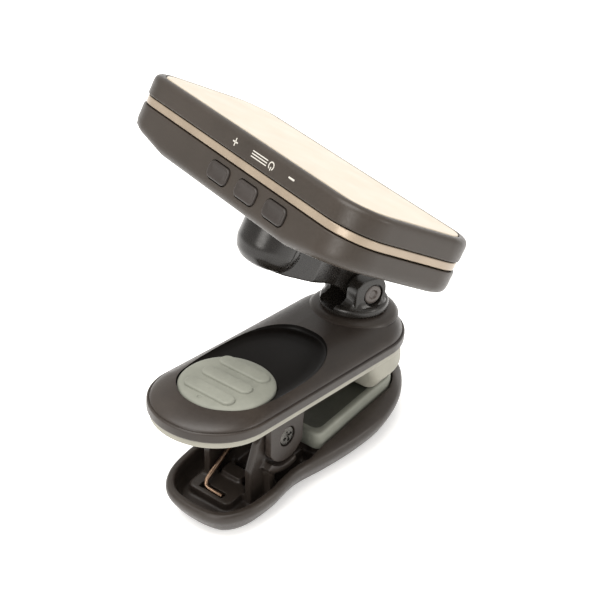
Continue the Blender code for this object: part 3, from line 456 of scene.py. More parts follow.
band_low = ARM_RIM_Z - ARM_BAND
crown = [(0.5, 0.4), (1.1, 1.2), (2.3, 2.0), (4.2, 2.58), (7.4, ARM_CROWN)]
ceiling = ((4.2, ARM_CEILING), (2.6, ARM_CEILING - 0.1), (1.5, ARM_CEILING - 0.45))
band = ((1.4, band_low + 0.3), (1.4, band_low), (0.25, band_low), (0, band_low + 0.2),
        (0, ARM_RIM_Z - 0.15), (0.15, ARM_RIM_Z), (0.35, ARM_RIM_Z))
cap = walls(
    [at(arm_loop(d), z) for d, z in ceiling]
    + eased([at(arm_loop(d), z) for d, z in band], 0.15, 3)
    + eased([at(arm_loop(0.4), ARM_RIM_Z - 0.14)] + [crowned(arm_loop(d), h) for d, h in crown], 1.1, 5)
)
bowl = ((0.6, 0), (0.8, 0.06), (0.93, 0.26), (0.99, 0.62), (1.0, 0.95), (1.04, 5))
dish = walls(eased([crowned(oval(DISH_A * k, DISH_B * k, DISH_X, 2.3), DISH_RISE + h) for k, h in bowl], 0.5))
pocket_low = DISH_RISE - 1.0
pocket = walls([crowned(oval(THUMB_A + GAP, THUMB_B + GAP, THUMB_X, 2.1), h) for h in (pocket_low, 6)])
ear = (arc(EAR_R, -155, -25, 36)
       + [(3.8, 1.5), (4.5, ARM_CEILING + 0.4), (-5.0, ARM_CEILING + 0.4), (-4.2, 1.5)])
arm_top = ARM_RIM_Z + ARM_CROWN * (1 + (TURRET_X + COLLAR_R - ARM_X1) * CROWN_FALL)
swell = walls(eased(turned(((7.6, arm_top - 1.0), (7.2, arm_top - 0.42), (6.6, arm_top - 0.12),
                            (6.0, arm_top + 0.06)), x=TURRET_X), 0.4))
upper_arm = moulded(
    "upper_arm_moulding", cap, lever_place,
    [slab(ear, *sorted((side * (EAR_OUT - EAR_T), side * EAR_OUT)), edge=0.18) for side in (-1, 1)] + [swell],
    [prism(circle(4.6, 64, TURRET_X), 5, WELL_Z), prism(circle(SPIGOT_R + RUN, 64, TURRET_X), 5, 20),
     bore(PIVOT_R + GAP, -EAR_OUT - 1, EAR_OUT + 1), bore(1.8, -EAR_OUT - 1, -EAR_OUT + SCREW_SEAT),
     bore(1.95, EAR_OUT - SCREW_SEAT, EAR_OUT + 1)],
)
upper_arm.data.materials.append(clip_plastic)
# Painted reflection: the dish and the thumb pad's pocket are coloured near black, with weak specular, in
# place of the head's dark underside mirrored in them.
dish_painted_reflection = finish_of("dish_painted_reflection", (0.0030, 0.0024, 0.0020), (0.0045, 0.0036, 0.0030), 0.34, grain=0.2,
                        relief=0.001, patch=12.0, spread=0.03, edge=0.0, level=0.1)
combine(upper_arm, dish, lever_place, "DIFFERENCE", dish_painted_reflection)
combine(upper_arm, pocket, lever_place, "DIFFERENCE", dish_painted_reflection)
dress(upper_arm, "clip_lever", "clip_plastic", None, "upper_arm", angle=30)

# ---- Thumb pad ----
# An inlay of the grey rubber glued into the dish. Three raised bars, moulded with it, stop the
# thumb from slipping, and a small gate mark is left near its outer end.


def new_tree(name, *inputs):
    """An empty geometry tree with one named input for each size."""
    tree = bpy.data.node_groups.new(name, "GeometryNodeTree")
    for label, kind in (("Seed", "Geometry"),) + inputs:
        tree.interface.new_socket(label, in_out="INPUT", socket_type="NodeSocket" + kind)
    tree.interface.new_socket("Piece", in_out="OUTPUT", socket_type="NodeSocketGeometry")
    return tree, add(tree, "NodeGroupInput").outputs


def close_tree(tree, shape, finish):
    """Every tree ends the same way: copies made real, then the material."""
    real = add(tree, "GeometryNodeRealizeInstances", Geometry=shape).outputs[0]
    painted = add(tree, "GeometryNodeSetMaterial", Geometry=real, Material=finish).outputs[0]
    add(tree, "NodeGroupOutput", Piece=painted)


def grown(name, tree, place, seed=None, **sizes):
    """Runs a tree with its sizes and keeps the result as a plain mesh, set in place."""
    piece = linked(name, seed or bpy.data.meshes.new(name))
    step = piece.modifiers.new("grow", "NODES")
    step.node_group = tree
    for item in tree.interface.items_tree:
        if item.in_out == "INPUT" and item.name in sizes:
            step[item.identifier] = sizes[item.name]
    finish_steps(piece)
    piece.data.transform(place)
    return piece


def maths(tree, operation, a, b):
    return add(tree, "ShaderNodeMath", operation=operation, i0=a, i1=b).outputs[0]


def vector(tree, x=0.0, y=0.0, z=0.0):
    return add(tree, "ShaderNodeCombineXYZ", X=x, Y=y, Z=z).outputs[0]


blocks, size = new_tree("soft_blocks", ("Count", "Int"), ("Pitch", "Float"), ("Length", "Float"),
                        ("Width", "Float"), ("Corner", "Float"), ("Edge", "Float"), ("Height", "Float"),
                        ("Finish", "Material"))
discs = []
for angle in (0, 22, 45, 68, 90):
    back_off = maths(blocks, "MULTIPLY", size["Edge"], 1 - math.cos(math.radians(angle)))
    drop = maths(blocks, "MULTIPLY", size["Edge"], 1 - math.sin(math.radians(angle)))
    r = maths(blocks, "SUBTRACT", size["Corner"], back_off)
    lift = vector(blocks, z=maths(blocks, "SUBTRACT", size["Height"], drop))
    ring = add(blocks, "GeometryNodeMeshCircle", Vertices=40, Radius=r).outputs[0]
    discs.append(add(blocks, "GeometryNodeTransform", Geometry=ring, Translation=lift).outputs[0])
discs.append(add(blocks, "GeometryNodeMeshCircle", Vertices=40, Radius=size["Corner"]).outputs[0])
stack = add(blocks, "GeometryNodeJoinGeometry")
for disc in discs:
    blocks.links.new(disc, stack.inputs[0])
spans = []
for side in ("Width", "Length"):
    spans.append(maths(blocks, "SUBTRACT", size[side], maths(blocks, "MULTIPLY", size["Corner"], 2.0)))
corners = add(blocks, "GeometryNodeMeshGrid", Size_X=spans[0], Size_Y=spans[1], Vertices_X=2,
              Vertices_Y=2).outputs[0]
four = add(blocks, "GeometryNodeInstanceOnPoints", Points=corners, Instance=stack.outputs[0]).outputs[0]
solid = add(blocks, "GeometryNodeRealizeInstances", Geometry=four).outputs[0]
solid = add(blocks, "GeometryNodeConvexHull", Geometry=solid).outputs[0]
row = add(blocks, "GeometryNodeMeshLine", Count=size["Count"],
          Offset=vector(blocks, size["Pitch"])).outputs[0]
row = add(blocks, "GeometryNodeInstanceOnPoints", Points=row, Instance=solid).outputs[0]
close_tree(blocks, row, size["Finish"])

BAR_LENGTH, BAR_WIDTH, BAR_PITCH, BAR_HEIGHT = 9.6, 2.5, 4.05, 0.45
pad_rise = ((0, pocket_low + GAP), (0, DISH_RISE + 0.35), (0.15, DISH_RISE + 0.85), (0.6, DISH_RISE + 1.3),
            (1.6, THUMB_RISE - 0.04), (4.0, THUMB_RISE))
thumb_pad = moulded("thumb_pad_inlay", walls(eased(
    [crowned(oval(THUMB_A - d, THUMB_B - d, THUMB_X, 2.1), h) for d, h in pad_rise], 0.4)), lever_place,
    cuts=[walls([crowned(circle(r, 24, -14.0, 0.3), h) for r, h in (
        (0.12, THUMB_RISE - 0.42), (0.3, THUMB_RISE - 0.36), (0.5, THUMB_RISE + 0.4))])])
dress(thumb_pad, "clip_lever", "grey_rubber", grey_rubber, "thumb_pad")
fall = Matrix(((1, 0, 0, 0), (0, 1, 0, 0), (THUMB_RISE * CROWN_FALL, 0, 1, 0), (0, 0, 0, 1)))
bar_z = ARM_RIM_Z + THUMB_RISE * (1 + (THUMB_X - ARM_X1) * CROWN_FALL) - 0.3
bars_place = lever_place @ Matrix.Translation((THUMB_X, 0, bar_z)) @ fall
bars = grown("thumb_pad_bars", blocks, bars_place @ Matrix.Translation((-BAR_PITCH, 0, 0)), Count=3,
             Pitch=BAR_PITCH, Length=BAR_LENGTH, Width=BAR_WIDTH, Corner=BAR_WIDTH / 2 - 0.02,
             Edge=0.32, Height=BAR_HEIGHT + 0.3, Finish=grey_rubber)
dress(bars, "clip_lever", "grey_rubber", None, angle=60)

# ---- Upper liner and jaw pad ----
# One grey rubber moulding snapped under the upper arm: a band all round, thickened at the tip
# into the pad that meets the lower one.

LINER_T, LINER_INSET, LINER_WALL = 1.05, 0.45, 2.0
liner_top = band_low - GAP
liner_low = liner_top - LINER_T
liner = stadium(ARM_X0, ARM_X1, ARM_R - LINER_INSET)


def jaw_plane(loop, lift):
    """The plane in which the pads meet, in the upper arm's own directions."""
    return (JAW_Z + GAP / 2 + lift) / math.cos(JAW_ANGLE) + loop[:, 0] * math.tan(JAW_ANGLE)


jaw_loops = [pad_loop(19.9, 29.7, PAD_HALF - 0.45, 1.2, 7.4), pad_loop(19.4, 30.1, PAD_HALF, 1.4, 7.8),
             pad_loop(18.2, 31.6, ARM_R - 0.35, 1.6, 10.2), pad_loop(16.4, 31.2, ARM_R - 0.6, 1.6, 9.8)]
jaw_loops = [inset(jaw_loops[0], 0.6)] + jaw_loops
jaw = walls(eased([at(loop, jaw_plane(loop, lift)) for loop, lift in zip(jaw_loops, (0, 0, 0.4))]
                  + [at(jaw_loops[3], 3.7), at(jaw_loops[4], liner_low + 0.3)], 0.5))
upper_liner = moulded(
    "upper_liner_moulding",
    walls(eased([at(inset(liner, 0.6), liner_low), at(inset(liner, 0.2), liner_low),
                 at(liner, liner_low + 0.2), at(liner, liner_top)], 0.2)), lever_place, [jaw],
    [prism(rounded(31.0, 2 * (ARM_R - LINER_INSET - LINER_WALL), 5.5, -2.8), liner_low - 1, liner_top + 1)])
pale_rubber = finish_of("pale_rubber", (0.235, 0.225, 0.187), (0.28, 0.272, 0.226), 0.62,
                        grain=0.16, relief=0.02, spread=0.05, edge=0.1)
dress(upper_liner, "clip_lever", "grey_rubber", pale_rubber, "upper_liner", angle=50)

# ---- Pivot: screw, nut and sleeve ----
# A plated cross-head screw through both ears into a hexagonal nut, over a sleeve that the
# spring is wound around.

screws, size = new_tree("screws", ("Count", "Int"), ("Pitch", "Float"), ("Head radius", "Float"),
                        ("Head height", "Float"), ("Slot width", "Float"), ("Shank radius", "Float"),
                        ("Shank length", "Float"), ("Finish", "Material"))


head_stack = add(screws, "GeometryNodeJoinGeometry")
for share, drop in ((1.0, 1.0), (1.0, 0.3), (0.96, 0.16), (0.88, 0.07), (0.74, 0.02), (0.6, 0.0)):
    wide = maths(screws, "MULTIPLY", size["Head radius"], share)
    ring = add(screws, "GeometryNodeMeshCircle", Vertices=56, Radius=wide).outputs[0]
    lift = vector(screws, z=maths(screws, "MULTIPLY", size["Head height"], -drop))
    moved_ring = add(screws, "GeometryNodeTransform", Geometry=ring, Translation=lift).outputs[0]
    screws.links.new(moved_ring, head_stack.inputs[0])
head = add(screws, "GeometryNodeConvexHull", Geometry=head_stack.outputs[0]).outputs[0]
cross = add(screws, "GeometryNodeMeshBoolean", operation="DIFFERENCE", solver="EXACT")
screws.links.new(head, cross.inputs[0])
arm_length = maths(screws, "MULTIPLY", size["Head radius"], 1.3)
depth = maths(screws, "MULTIPLY", size["Head height"], 0.9)
for sides in ((arm_length, size["Slot width"]), (size["Slot width"], arm_length)):
    bar = add(screws, "GeometryNodeMeshCube", Size=vector(screws, sides[0], sides[1], depth)).outputs[0]
    screws.links.new(bar, cross.inputs[1])
shank = add(screws, "GeometryNodeMeshCylinder", Vertices=40, Radius=size["Shank radius"],
            Depth=size["Shank length"]).outputs[0]
centre = add(screws, "ShaderNodeMath", operation="MULTIPLY_ADD", i0=size["Shank length"], i1=-0.5,
             i2=maths(screws, "MULTIPLY", size["Head height"], -0.98)).outputs[0]
shank = add(screws, "GeometryNodeTransform", Geometry=shank, Translation=vector(screws, z=centre)).outputs[0]
whole = add(screws, "GeometryNodeJoinGeometry")
screws.links.new(cross.outputs[0], whole.inputs[0])
screws.links.new(shank, whole.inputs[0])
row = add(screws, "GeometryNodeMeshLine", Count=size["Count"],
          Offset=vector(screws, size["Pitch"])).outputs[0]
copies = add(screws, "GeometryNodeInstanceOnPoints", Points=row, Instance=whole.outputs[0]).outputs[0]
close_tree(screws, copies, size["Finish"])

dark_steel = finish_of("dark_plated_steel", (0.055, 0.052, 0.047), (0.12, 0.115, 0.105), 0.30, metal=1.0,
                       grain=0.08, relief=0.004, patch=1.2, spread=0.10, edge=0.06)
bright_steel = finish_of("plated_steel", (0.42, 0.40, 0.37), (0.55, 0.53, 0.49), 0.28, metal=1.0,
                         grain=0.10, relief=0.004, patch=2.0, spread=0.08, edge=0.06, stretch=(1, 0.2, 1))
facing_front = lever_place @ Matrix.Translation((0, -EAR_OUT + 0.06, 0))
facing_front @= Matrix.Rotation(math.radians(90), 4, "X") @ Matrix.Rotation(math.radians(22), 4, "Z")
pivot_screw = grown("pivot_screw_cross_head", screws, facing_front,
                    **{"Count": 1, "Pitch": 0.0, "Head radius": 1.6, "Head height": 0.5, "Slot width": 0.52,
                       "Shank radius": PIVOT_R, "Shank length": 2 * EAR_OUT - 0.6, "Finish": dark_steel})
dress(pivot_screw, "clip_lever", "steel", None, "pivot_screw")
hexagon = laid(prism(circle(1.75, 6), EAR_OUT - SCREW_SEAT + GAP, EAR_OUT + 0.35, 0.16))
pivot_nut = moulded("pivot_nut_hexagon", hexagon, lever_place, cuts=[bore(PIVOT_R + RUN, 0, 9)])
dress(pivot_nut, "clip_lever", "steel", bright_steel, "pivot_nut", angle=20)


def refinish(finish, *nodes):
    """Gives plain pieces of the frame, which keep their shape, their finish."""
    for node in nodes:
        frame["nodes"][node].data.materials[0] = finish


refinish(bright_steel, "pivot_sleeve")

# ---- Torsion spring ----
# Copper-toned plated wire of 0.8 mm: four turns round the sleeve, one leg bent into a hook in
# the lower arm, and the other bearing on the upper arm's ceiling.

COIL_R, WIRE_R, COIL_HALF, COIL_TURNS = 2.55, 0.4, 2.9, 4
KNEE_Z, PUSH_X, PUSH_Z = SEAT_Z + 0.5, -12.2, 7.1
push = (PUSH_X * math.cos(JAW_ANGLE) + PUSH_Z * math.sin(JAW_ANGLE),
        PUSH_Z * math.cos(JAW_ANGLE) - PUSH_X * math.sin(JAW_ANGLE))
start = math.degrees(math.atan2(KNEE_Z, SEAT_X) + math.acos(COIL_R / math.hypot(SEAT_X, KNEE_Z))) % 360
end = math.degrees(math.atan2(push[1], push[0]) - math.acos(COIL_R / math.hypot(*push))) % 360
sweep = 360 * COIL_TURNS + (end - start) % 360
turns = []
for k in range(201):
    a = math.radians(start + sweep * k / 200)
    turns.append((COIL_R * math.cos(a), COIL_HALF - 2 * COIL_HALF * k / 200, COIL_R * math.sin(a)))
first, last = np.array(turns[0]), np.array(turns[-1])
knee = np.array((SEAT_X, COIL_HALF, KNEE_Z))
hook = [(SEAT_X, HOOK_Y0, KNEE_Z - 0.85), (SEAT_X, 0.5, KNEE_Z - 0.8), (SEAT_X, 1.6, KNEE_Z - 0.74),
        (SEAT_X + 0.02, 2.2, KNEE_Z - 0.62), (SEAT_X + 0.12, 2.62, KNEE_Z - 0.4),
        (SEAT_X + 0.4, 2.82, KNEE_Z - 0.1)]
leg = [tuple(first + (knee - first) * k) for k in np.linspace(0.93, 0.03, 14)]
tip = np.array((push[0], -COIL_HALF, push[1]))
arm_leg = [tuple(last + (tip - last) * k) for k in np.linspace(0.03, 1.0, 14)]
route = hook + leg + turns + arm_leg
wire_path = bpy.data.meshes.new("spring_path")
wire_path.from_pydata([tuple(map(float, p)) for p in route], [(k, k + 1) for k in range(len(route) - 1)], [])
wire_tree, size = new_tree("bent_wire", ("Wire radius", "Float"), ("Finish", "Material"))
curve = add(wire_tree, "GeometryNodeMeshToCurve", Mesh=size["Seed"]).outputs[0]
section = add(wire_tree, "GeometryNodeCurvePrimitiveCircle", Resolution=20,
              Radius=size["Wire radius"]).outputs[0]
tube = add(wire_tree, "GeometryNodeCurveToMesh", Curve=curve, Profile_Curve=section).outputs[0]
for socket in tube.node.inputs:
    if socket.name == "Fill Caps":
        socket.default_value = True
close_tree(wire_tree, tube, size["Finish"])
copper_wire = finish_of("copper_plated_wire", (0.20, 0.125, 0.085), (0.38, 0.26, 0.18), 0.34, metal=1.0,
                        grain=0.12, relief=0.004, patch=1.5, spread=0.08, edge=0.0)
spring = grown("torsion_spring_wire", wire_tree, base_place, seed=wire_path,
               **{"Wire radius": WIRE_R, "Finish": copper_wire})
spring.data.name = spring.name
spring.data.shade_smooth()
spring.data.set_sharp_from_angle(angle=math.radians(50))
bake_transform(spring)
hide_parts("torsion_spring")

# ---- Neck: turret, its washer and screw ----
# A glossy dark nylon fork on a round collar. Its spigot turns in the upper arm and is held
# from below by a washer and a screw.

neck_y = Vector(joints["head_tilt"]["axis"])
neck_x = neck_y.cross(lever_z)
neck_origin = pivot + lever_x * (Vector(joints["neck_turn"]["pos_m"]) - pivot).dot(lever_x)
neck_place = place_at(neck_origin, neck_x, neck_y, lever_z)
COLLAR_T, FORK_X0, FORK_X1, FORK_HALF, FORK_RISE = 1.5, -3.05, 3.05, 4.35, 3.0
SLOT_Y0, SLOT_Y1, PIN_X, PIN_Z, PIN_R = -1.75, 2.75, 0.5, 15.92, 1.05
collar_low = arm_top + 0.2
collar_top = collar_low + COLLAR_T
fork_mid, fork_half = (FORK_X0 + FORK_X1) / 2, (FORK_X1 - FORK_X0) / 2
fork = [(FORK_X0, collar_top - 0.6), (FORK_X1, collar_top - 0.6)]
for k in range(49):
    c, s = math.cos(math.pi * k / 48), math.sin(math.pi * k / 48)
    fork.append((fork_mid + fork_half * math.copysign(abs(c) ** 0.75, c),
                 PIN_Z + 0.3 + (FORK_RISE - 0.3) * abs(s) ** 0.75))
skirt = walls(eased([at(rounded(sx, sy, r), collar_top + z) for sx, sy, r, z in (
    (9.4, 10.0, 3.2, -0.35), (8.0, 9.6, 2.4, 0.05), (6.5, 9.0, 1.4, 0.6), (5.9, 8.6, 0.9, 1.3))], 0.4))
turret = moulded(
    "turret_fork",
    walls(eased(turned((
        (SPIGOT_R, WELL_Z - 0.1), (SPIGOT_R, collar_low), (COLLAR_R - 0.15, collar_low),
        (COLLAR_R, collar_low + 0.15), (COLLAR_R, collar_top - 0.5), (COLLAR_R - 0.2, collar_top - 0.15),
        (COLLAR_R - 0.6, collar_top))), 0.2)),
    neck_place, [skirt, slab(fork, -FORK_HALF, FORK_HALF, edge=0.35)],
    [box(-9, 9, SLOT_Y0, SLOT_Y1, collar_top - 0.9, 25), bore(PIN_R + RUN, -9, 9, PIN_X, PIN_Z),
     bore(1.9, -9, -FORK_HALF + 0.55, PIN_X, PIN_Z), bore(1.9, FORK_HALF - 0.55, 9, PIN_X, PIN_Z),
     prism(circle(1.05, 40), WELL_Z - 1, WELL_Z + 1.8)])
neck_plastic = finish_of("neck_plastic_gloss", (0.009, 0.0075, 0.0065), (0.014, 0.012, 0.010), 0.27,
                         grain=0.16, relief=0.0012, wear_and_sheen=0.25, edge=0.16, spread=0.03, level=0.4)
dress(turret, "neck", "neck_plastic", neck_plastic, "turret", angle=30)
refinish(bright_steel, "turret_washer", "turret_screw")

# ---- Tilt pin, its nut and washers ----
# A shouldered pin of the neck's nylon with a dimpled ring for a head, and a hexagonal nut.

pin_face = -FORK_HALF + 0.05
pin = laid(walls(eased(turned((
    (0.35, pin_face + 0.32), (0.62, pin_face + 0.3), (0.86, pin_face), (1.45, pin_face),
    (1.65, pin_face + 0.15), (1.65, -FORK_HALF + 0.45), (PIN_R, -FORK_HALF + 0.45),
    (PIN_R, FORK_HALF - 0.05)), 64), 0.1)))
hinge_pin = moulded("hinge_pin_ring_head", (pin[0] + np.array([PIN_X, 0, PIN_Z]), pin[1]), neck_place)
pin_plastic = finish_of("pin_plastic_rubbed_and_sheen", (0.040, 0.032, 0.028), (0.070, 0.057, 0.050), 0.36,
                        grain=0.12, relief=0.006, wear_and_sheen=0.5, edge=0.08)
dress(hinge_pin, "neck", "neck_plastic", pin_plastic, "hinge_pin")
nut = laid(prism(circle(1.75, 6), FORK_HALF - 0.45, FORK_HALF + 0.3, 0.16))
hinge_nut = moulded("hinge_nut_hexagon", (nut[0] + np.array([PIN_X, 0, PIN_Z]), nut[1]), neck_place,
                    cuts=[bore(PIN_R + RUN, 0, 9, PIN_X, PIN_Z)])
dress(hinge_nut, "neck", "steel", bright_steel, "hinge_nut", angle=20)
refinish(bright_steel, "hinge_washer_near", "hinge_washer_far")

# ---- Arm of the head, with its hub and hub cover ----
# A knuckle on a tapering tongue that runs into a round hub under the middle of the head. A
# thin half cover closes the hub's outer side, and a screw under it holds the head.

head_y = neck_y
head_x = Vector(joints["plus_press"]["axis"])
head_z = head_x.cross(head_y)
head_place = place_at(Vector(joints["head_tilt"]["pos_m"]), head_x, head_y, head_z)
FACE_Z, HEAD_T, KNUCKLE_R, WASHER_T = 18.4, 10.8, 2.6, 0.35
HUB_X, COVER_R, COVER_T, HUB_LOW, TONGUE = -21.8, 5.3, 0.85, -0.85, 3.2
back_z = FACE_Z - HEAD_T
hub_top = back_z - 0.2
core_r = COVER_R - COVER_T - GAP
y0, y1 = SLOT_Y0 + 0.2 + WASHER_T, SLOT_Y1 - 0.2 - WASHER_T
knuckle_mid = (y0 + y1) / 2
tongue_plan = np.array([(HUB_X - 0.5, -TONGUE), (HUB_X + 9, -TONGUE), (-6.2, y0), (KNUCKLE_R + 1, y0),
                        (KNUCKLE_R + 1, y1), (-6.2, y1), (HUB_X + 9, TONGUE + knuckle_mid),
                        (HUB_X - 0.5, TONGUE + knuckle_mid)])
tongue_side = ([(HUB_X - 2, HUB_LOW + 0.4), (HUB_X + 3, HUB_LOW), (-8.0, HUB_LOW + 0.1), (-3.0, -1.3)]
               + arc(KNUCKLE_R, 215, 450, 48)
               + [(-3.0, 2.9), (-8.0, 3.3), (HUB_X + 5, 4.2), (HUB_X - 2, 4.2)])
core_low = HUB_LOW + COVER_T
core = walls(eased(turned((
    (core_r - 3.0, core_low + 0.3), (core_r - 1.3, core_low + 0.5), (core_r - 0.3, core_low + 1.5),
    (core_r, core_low + 3), (core_r, hub_top)), x=HUB_X), 0.6))
drum_side = ((COVER_R - 3.2, HUB_LOW), (COVER_R - 1.7, HUB_LOW + 0.45), (COVER_R - 0.6, HUB_LOW + 1.5),
             (COVER_R, HUB_LOW + 3.2), (COVER_R, hub_top))
drum = walls(eased(turned(drum_side, x=HUB_X), 0.8))
head_arm = moulded("head_arm_moulding", slab(tongue_side, -6, 6), head_place)
combine(head_arm, prism(tongue_plan, -6, 9), head_place, "INTERSECT")
combine(head_arm, core, head_place, "UNION")
near_half = moulded("near_half", drum, head_place, cuts=[box(HUB_X - 9, HUB_X + 1.15, -9, 9, -5, 12)])
join_step = head_arm.modifiers.new("near half", "BOOLEAN")
join_step.operation, join_step.object, join_step.solver = "UNION", near_half, "EXACT"
finish_steps(head_arm)
bpy.data.objects.remove(near_half, do_unlink=True)
soften(head_arm, 0.17, 4)
for opening in (bore(PIN_R + RUN, -9, 9), prism(circle(2.2, 48, HUB_X), -3, HUB_LOW + 3.6)):
    combine(head_arm, opening, head_place, "DIFFERENCE")
dress(head_arm, "head", "neck_plastic", neck_plastic, "head_arm", angle=40)
inner_r = core_r + GAP
hub_cover = moulded(
    "hub_cover_half",
    walls(eased(turned((
        *drum_side, (inner_r, hub_top), (inner_r, core_low + 2.8), (inner_r - 0.3, core_low + 1.3),
        (inner_r - 1.3, core_low + 0.3), (inner_r - 3.0, core_low + 0.1)), x=HUB_X), 0.5)), head_place,
    cuts=[box(HUB_X + 1.0, 0, -9, 9, -5, 12)])
dress(hub_cover, "head", "neck_plastic", neck_plastic, "hub_cover", angle=34)
refinish(bright_steel, "hub_screw")

# ---- Front bezel ----
# The head's upper shell, satin moulded, with a narrow rounded rim round the window. Two blind
# bosses under one end take the case screws.

HEAD_L, HEAD_S, HEAD_R, HEAD_X = 60.0, 26.1, 6.6, -22.8
BEZEL_T, BAND_T, END_T, SLOPE_Y, SHELL_WALL, BEZEL_RIM = 3.6, 1.45, 8.8, 17.0, 1.5, 1.6


def head_loop(d):
    return rounded(HEAD_S - 2 * d, HEAD_L - 2 * d, max(HEAD_R - d, 0.6), HEAD_X, 0, 24)


def head_rings(profile):
    """The head's outline at each inset and height."""
    return [at(head_loop(d), z) for d, z in profile]


bezel_low = FACE_Z - BEZEL_T + GAP / 2
lens_low = FACE_Z - 1.05
ledge_low = lens_low - 0.95
BOSS_ASIDE, BOSS_Y = 8.2, -25.2  # the case screws' bosses
bosses = [(HEAD_X + side * BOSS_ASIDE, BOSS_Y) for side in (-1, 1)]
inner_floor = back_z + 2.4
front_bezel = moulded(
    "front_bezel_shell",
    walls(eased(head_rings((
        (0.12, bezel_low), (0, bezel_low + 0.12), (0, FACE_Z - 1.0), (0.14, FACE_Z - 0.5),
        (0.5, FACE_Z - 0.16), (1.05, FACE_Z), (BEZEL_RIM, FACE_Z), (BEZEL_RIM, lens_low - GAP),
        (3.0, lens_low - GAP), (3.0, ledge_low), (SHELL_WALL, ledge_low), (SHELL_WALL, bezel_low))),
        0.3, closed=True), closed=True), head_place,
    [prism(circle(1.8, 40, x, y), inner_floor + 0.3, ledge_low + 0.3) for x, y in bosses],
    [prism(circle(1.0, 40, x, y), inner_floor - 1, ledge_low - 0.6) for x, y in bosses])
head_plastic = finish_of("head_plastic_satin", (0.025, 0.019, 0.014), (0.034, 0.026, 0.020), 0.40,
                         grain=0.10, relief=0.007, wear_and_sheen=0.3, patch=9.0, level=0.36)
dress(front_bezel, "head", "head_plastic", head_plastic, "front_bezel")

# ---- Marks on the bezel ----
# Pad-printed in pale ink over the keys: a plus, a power sign beside a short list sign, and a
# minus. Each stroke of ink stands a few hundredths of a millimetre proud.

wall_x = HEAD_X - HEAD_S / 2
MARK_Z, INK = FACE_Z - 1.95, 0.03
pale_ink = finish_of("pale_ink", (0.40, 0.38, 0.34), (0.48, 0.46, 0.42), 0.5, grain=0.08, relief=0.002,
                     patch=1.0, edge=0.0)
to_wall = Matrix(((0, 0, -1, wall_x), (1, 0, 0, 0), (0, -1, 0, MARK_Z), (0, 0, 0, 1)))
strokes = [(0.75, 0, 1.3, 0.22), (0.75, 0, 0.22, 1.3), (-13.95, -0.1, 1.45, 0.28)]
strokes += [(-5.75, z, 4.0, 0.17) for z in (-0.42, 0, 0.42)]
strokes.append((-8.85, 0.42, 0.2, 0.6))
ink = None
for y, z, across, tall in strokes:
    stroke = grown("stroke", blocks, head_place @ to_wall @ Matrix.Translation((y, z, 0.0)),
                   Count=1, Pitch=0.0, Length=tall, Width=across,
                   Corner=min(across, tall) / 2 - 0.004, Edge=0.012, Height=INK, Finish=pale_ink)
    if ink is None:
        ink = stroke
        ink.name = "printed_marks"
        continue
    with bpy.context.temp_override(active_object=ink, selected_editable_objects=[ink, stroke]):
        bpy.ops.object.join()
power = []
for k in range(41):
    a = math.radians(125 + 290 * k / 40)
    power.append((math.cos(a), math.sin(a)))
power = np.array([(0.68 * c, 0.68 * s) for c, s in power] + [(0.48 * c, 0.48 * s) for c, s in power[::-1]])
sign = mesh_of(prism(power, 0, INK), head_place @ to_wall @ Matrix.Translation((-8.85, 0, 0)), "power_sign")
sign.materials.append(pale_ink)
sign = linked("power_sign", sign)
with bpy.context.temp_override(active_object=ink, selected_editable_objects=[ink, sign]):
    bpy.ops.object.join()
dress(ink, "head", "head_plastic", None)

# ---- Window and what lies under it ----
# A clear acrylic sheet set flush in the bezel, drawn opaque; its faint cream glow is painted light in its own
# finish, standing in for light from below. Under it lie the liquid crystal panel and the light guide.

lens_inset = BEZEL_RIM + GAP
window = moulded("window_sheet", walls(eased(head_rings((
    (lens_inset + 0.1, lens_low), (lens_inset, lens_low + 0.1),
    (lens_inset, FACE_Z - 0.1), (lens_inset + 0.12, FACE_Z + 0.02))), 0.1)), head_place)
window_cream = finish_of("window_cream", (0.37, 0.315, 0.24), (0.41, 0.35, 0.27), 0.32, grain=1.2,
                         relief=0.002, patch=14.0, spread=0.03, edge=0.0, level=0.12)
# Painted light: the window emits a faint cream glow of its own, while the light guide under it gives none.
shader = window_cream.node_tree.nodes["Principled BSDF"]
shader.inputs["Emission Color"].default_value = (1.0, 0.90, 0.74, 1)
shader.inputs["Emission Strength"].default_value = 0.05
dress(window, "head", "lens_clear", window_cream, "screen_lens")
panel_finish = finish_of("panel_glass", (0.26, 0.29, 0.24), (0.33, 0.36, 0.31), 0.16, grain=0.3, relief=0.001,
                         edge=0.0)
guide_finish = finish_of("light_guide_white", (0.80, 0.81, 0.79), (0.88, 0.89, 0.87), 0.35, grain=0.3,
                         relief=0.002, edge=0.0)
refinish(panel_finish, "lcd_panel")
refinish(guide_finish, "backlight")

# ---- Accent band ----
# A thin frame between the shells, sprayed in champagne metallic paint over the plastic.

stripe_top = FACE_Z - BEZEL_T - GAP / 2
stripe_low = FACE_Z - BEZEL_T - BAND_T + GAP / 2
accent = moulded("accent_band_frame", walls(eased(head_rings((
    (0.35, stripe_low), (0.22, stripe_low + 0.13), (0.22, stripe_top - 0.13), (0.35, stripe_top),
    (SHELL_WALL, stripe_top), (SHELL_WALL, stripe_low))), 0.1, closed=True), closed=True), head_place)
champagne = finish_of("champagne_paint", (0.26, 0.205, 0.150), (0.33, 0.265, 0.195), 0.42, metal=0.4,
                      grain=0.05, relief=0.003, patch=5.0, spread=0.07, edge=0.05, coat=0.3)
dress(accent, "head", "band_paint", champagne, "accent_band")

# ---- Rear shell ----
# The head's lower shell. Its back slopes up to both ends, its side wall has three keyholes,
# and the sliding door leaves an opening behind the coin cell.

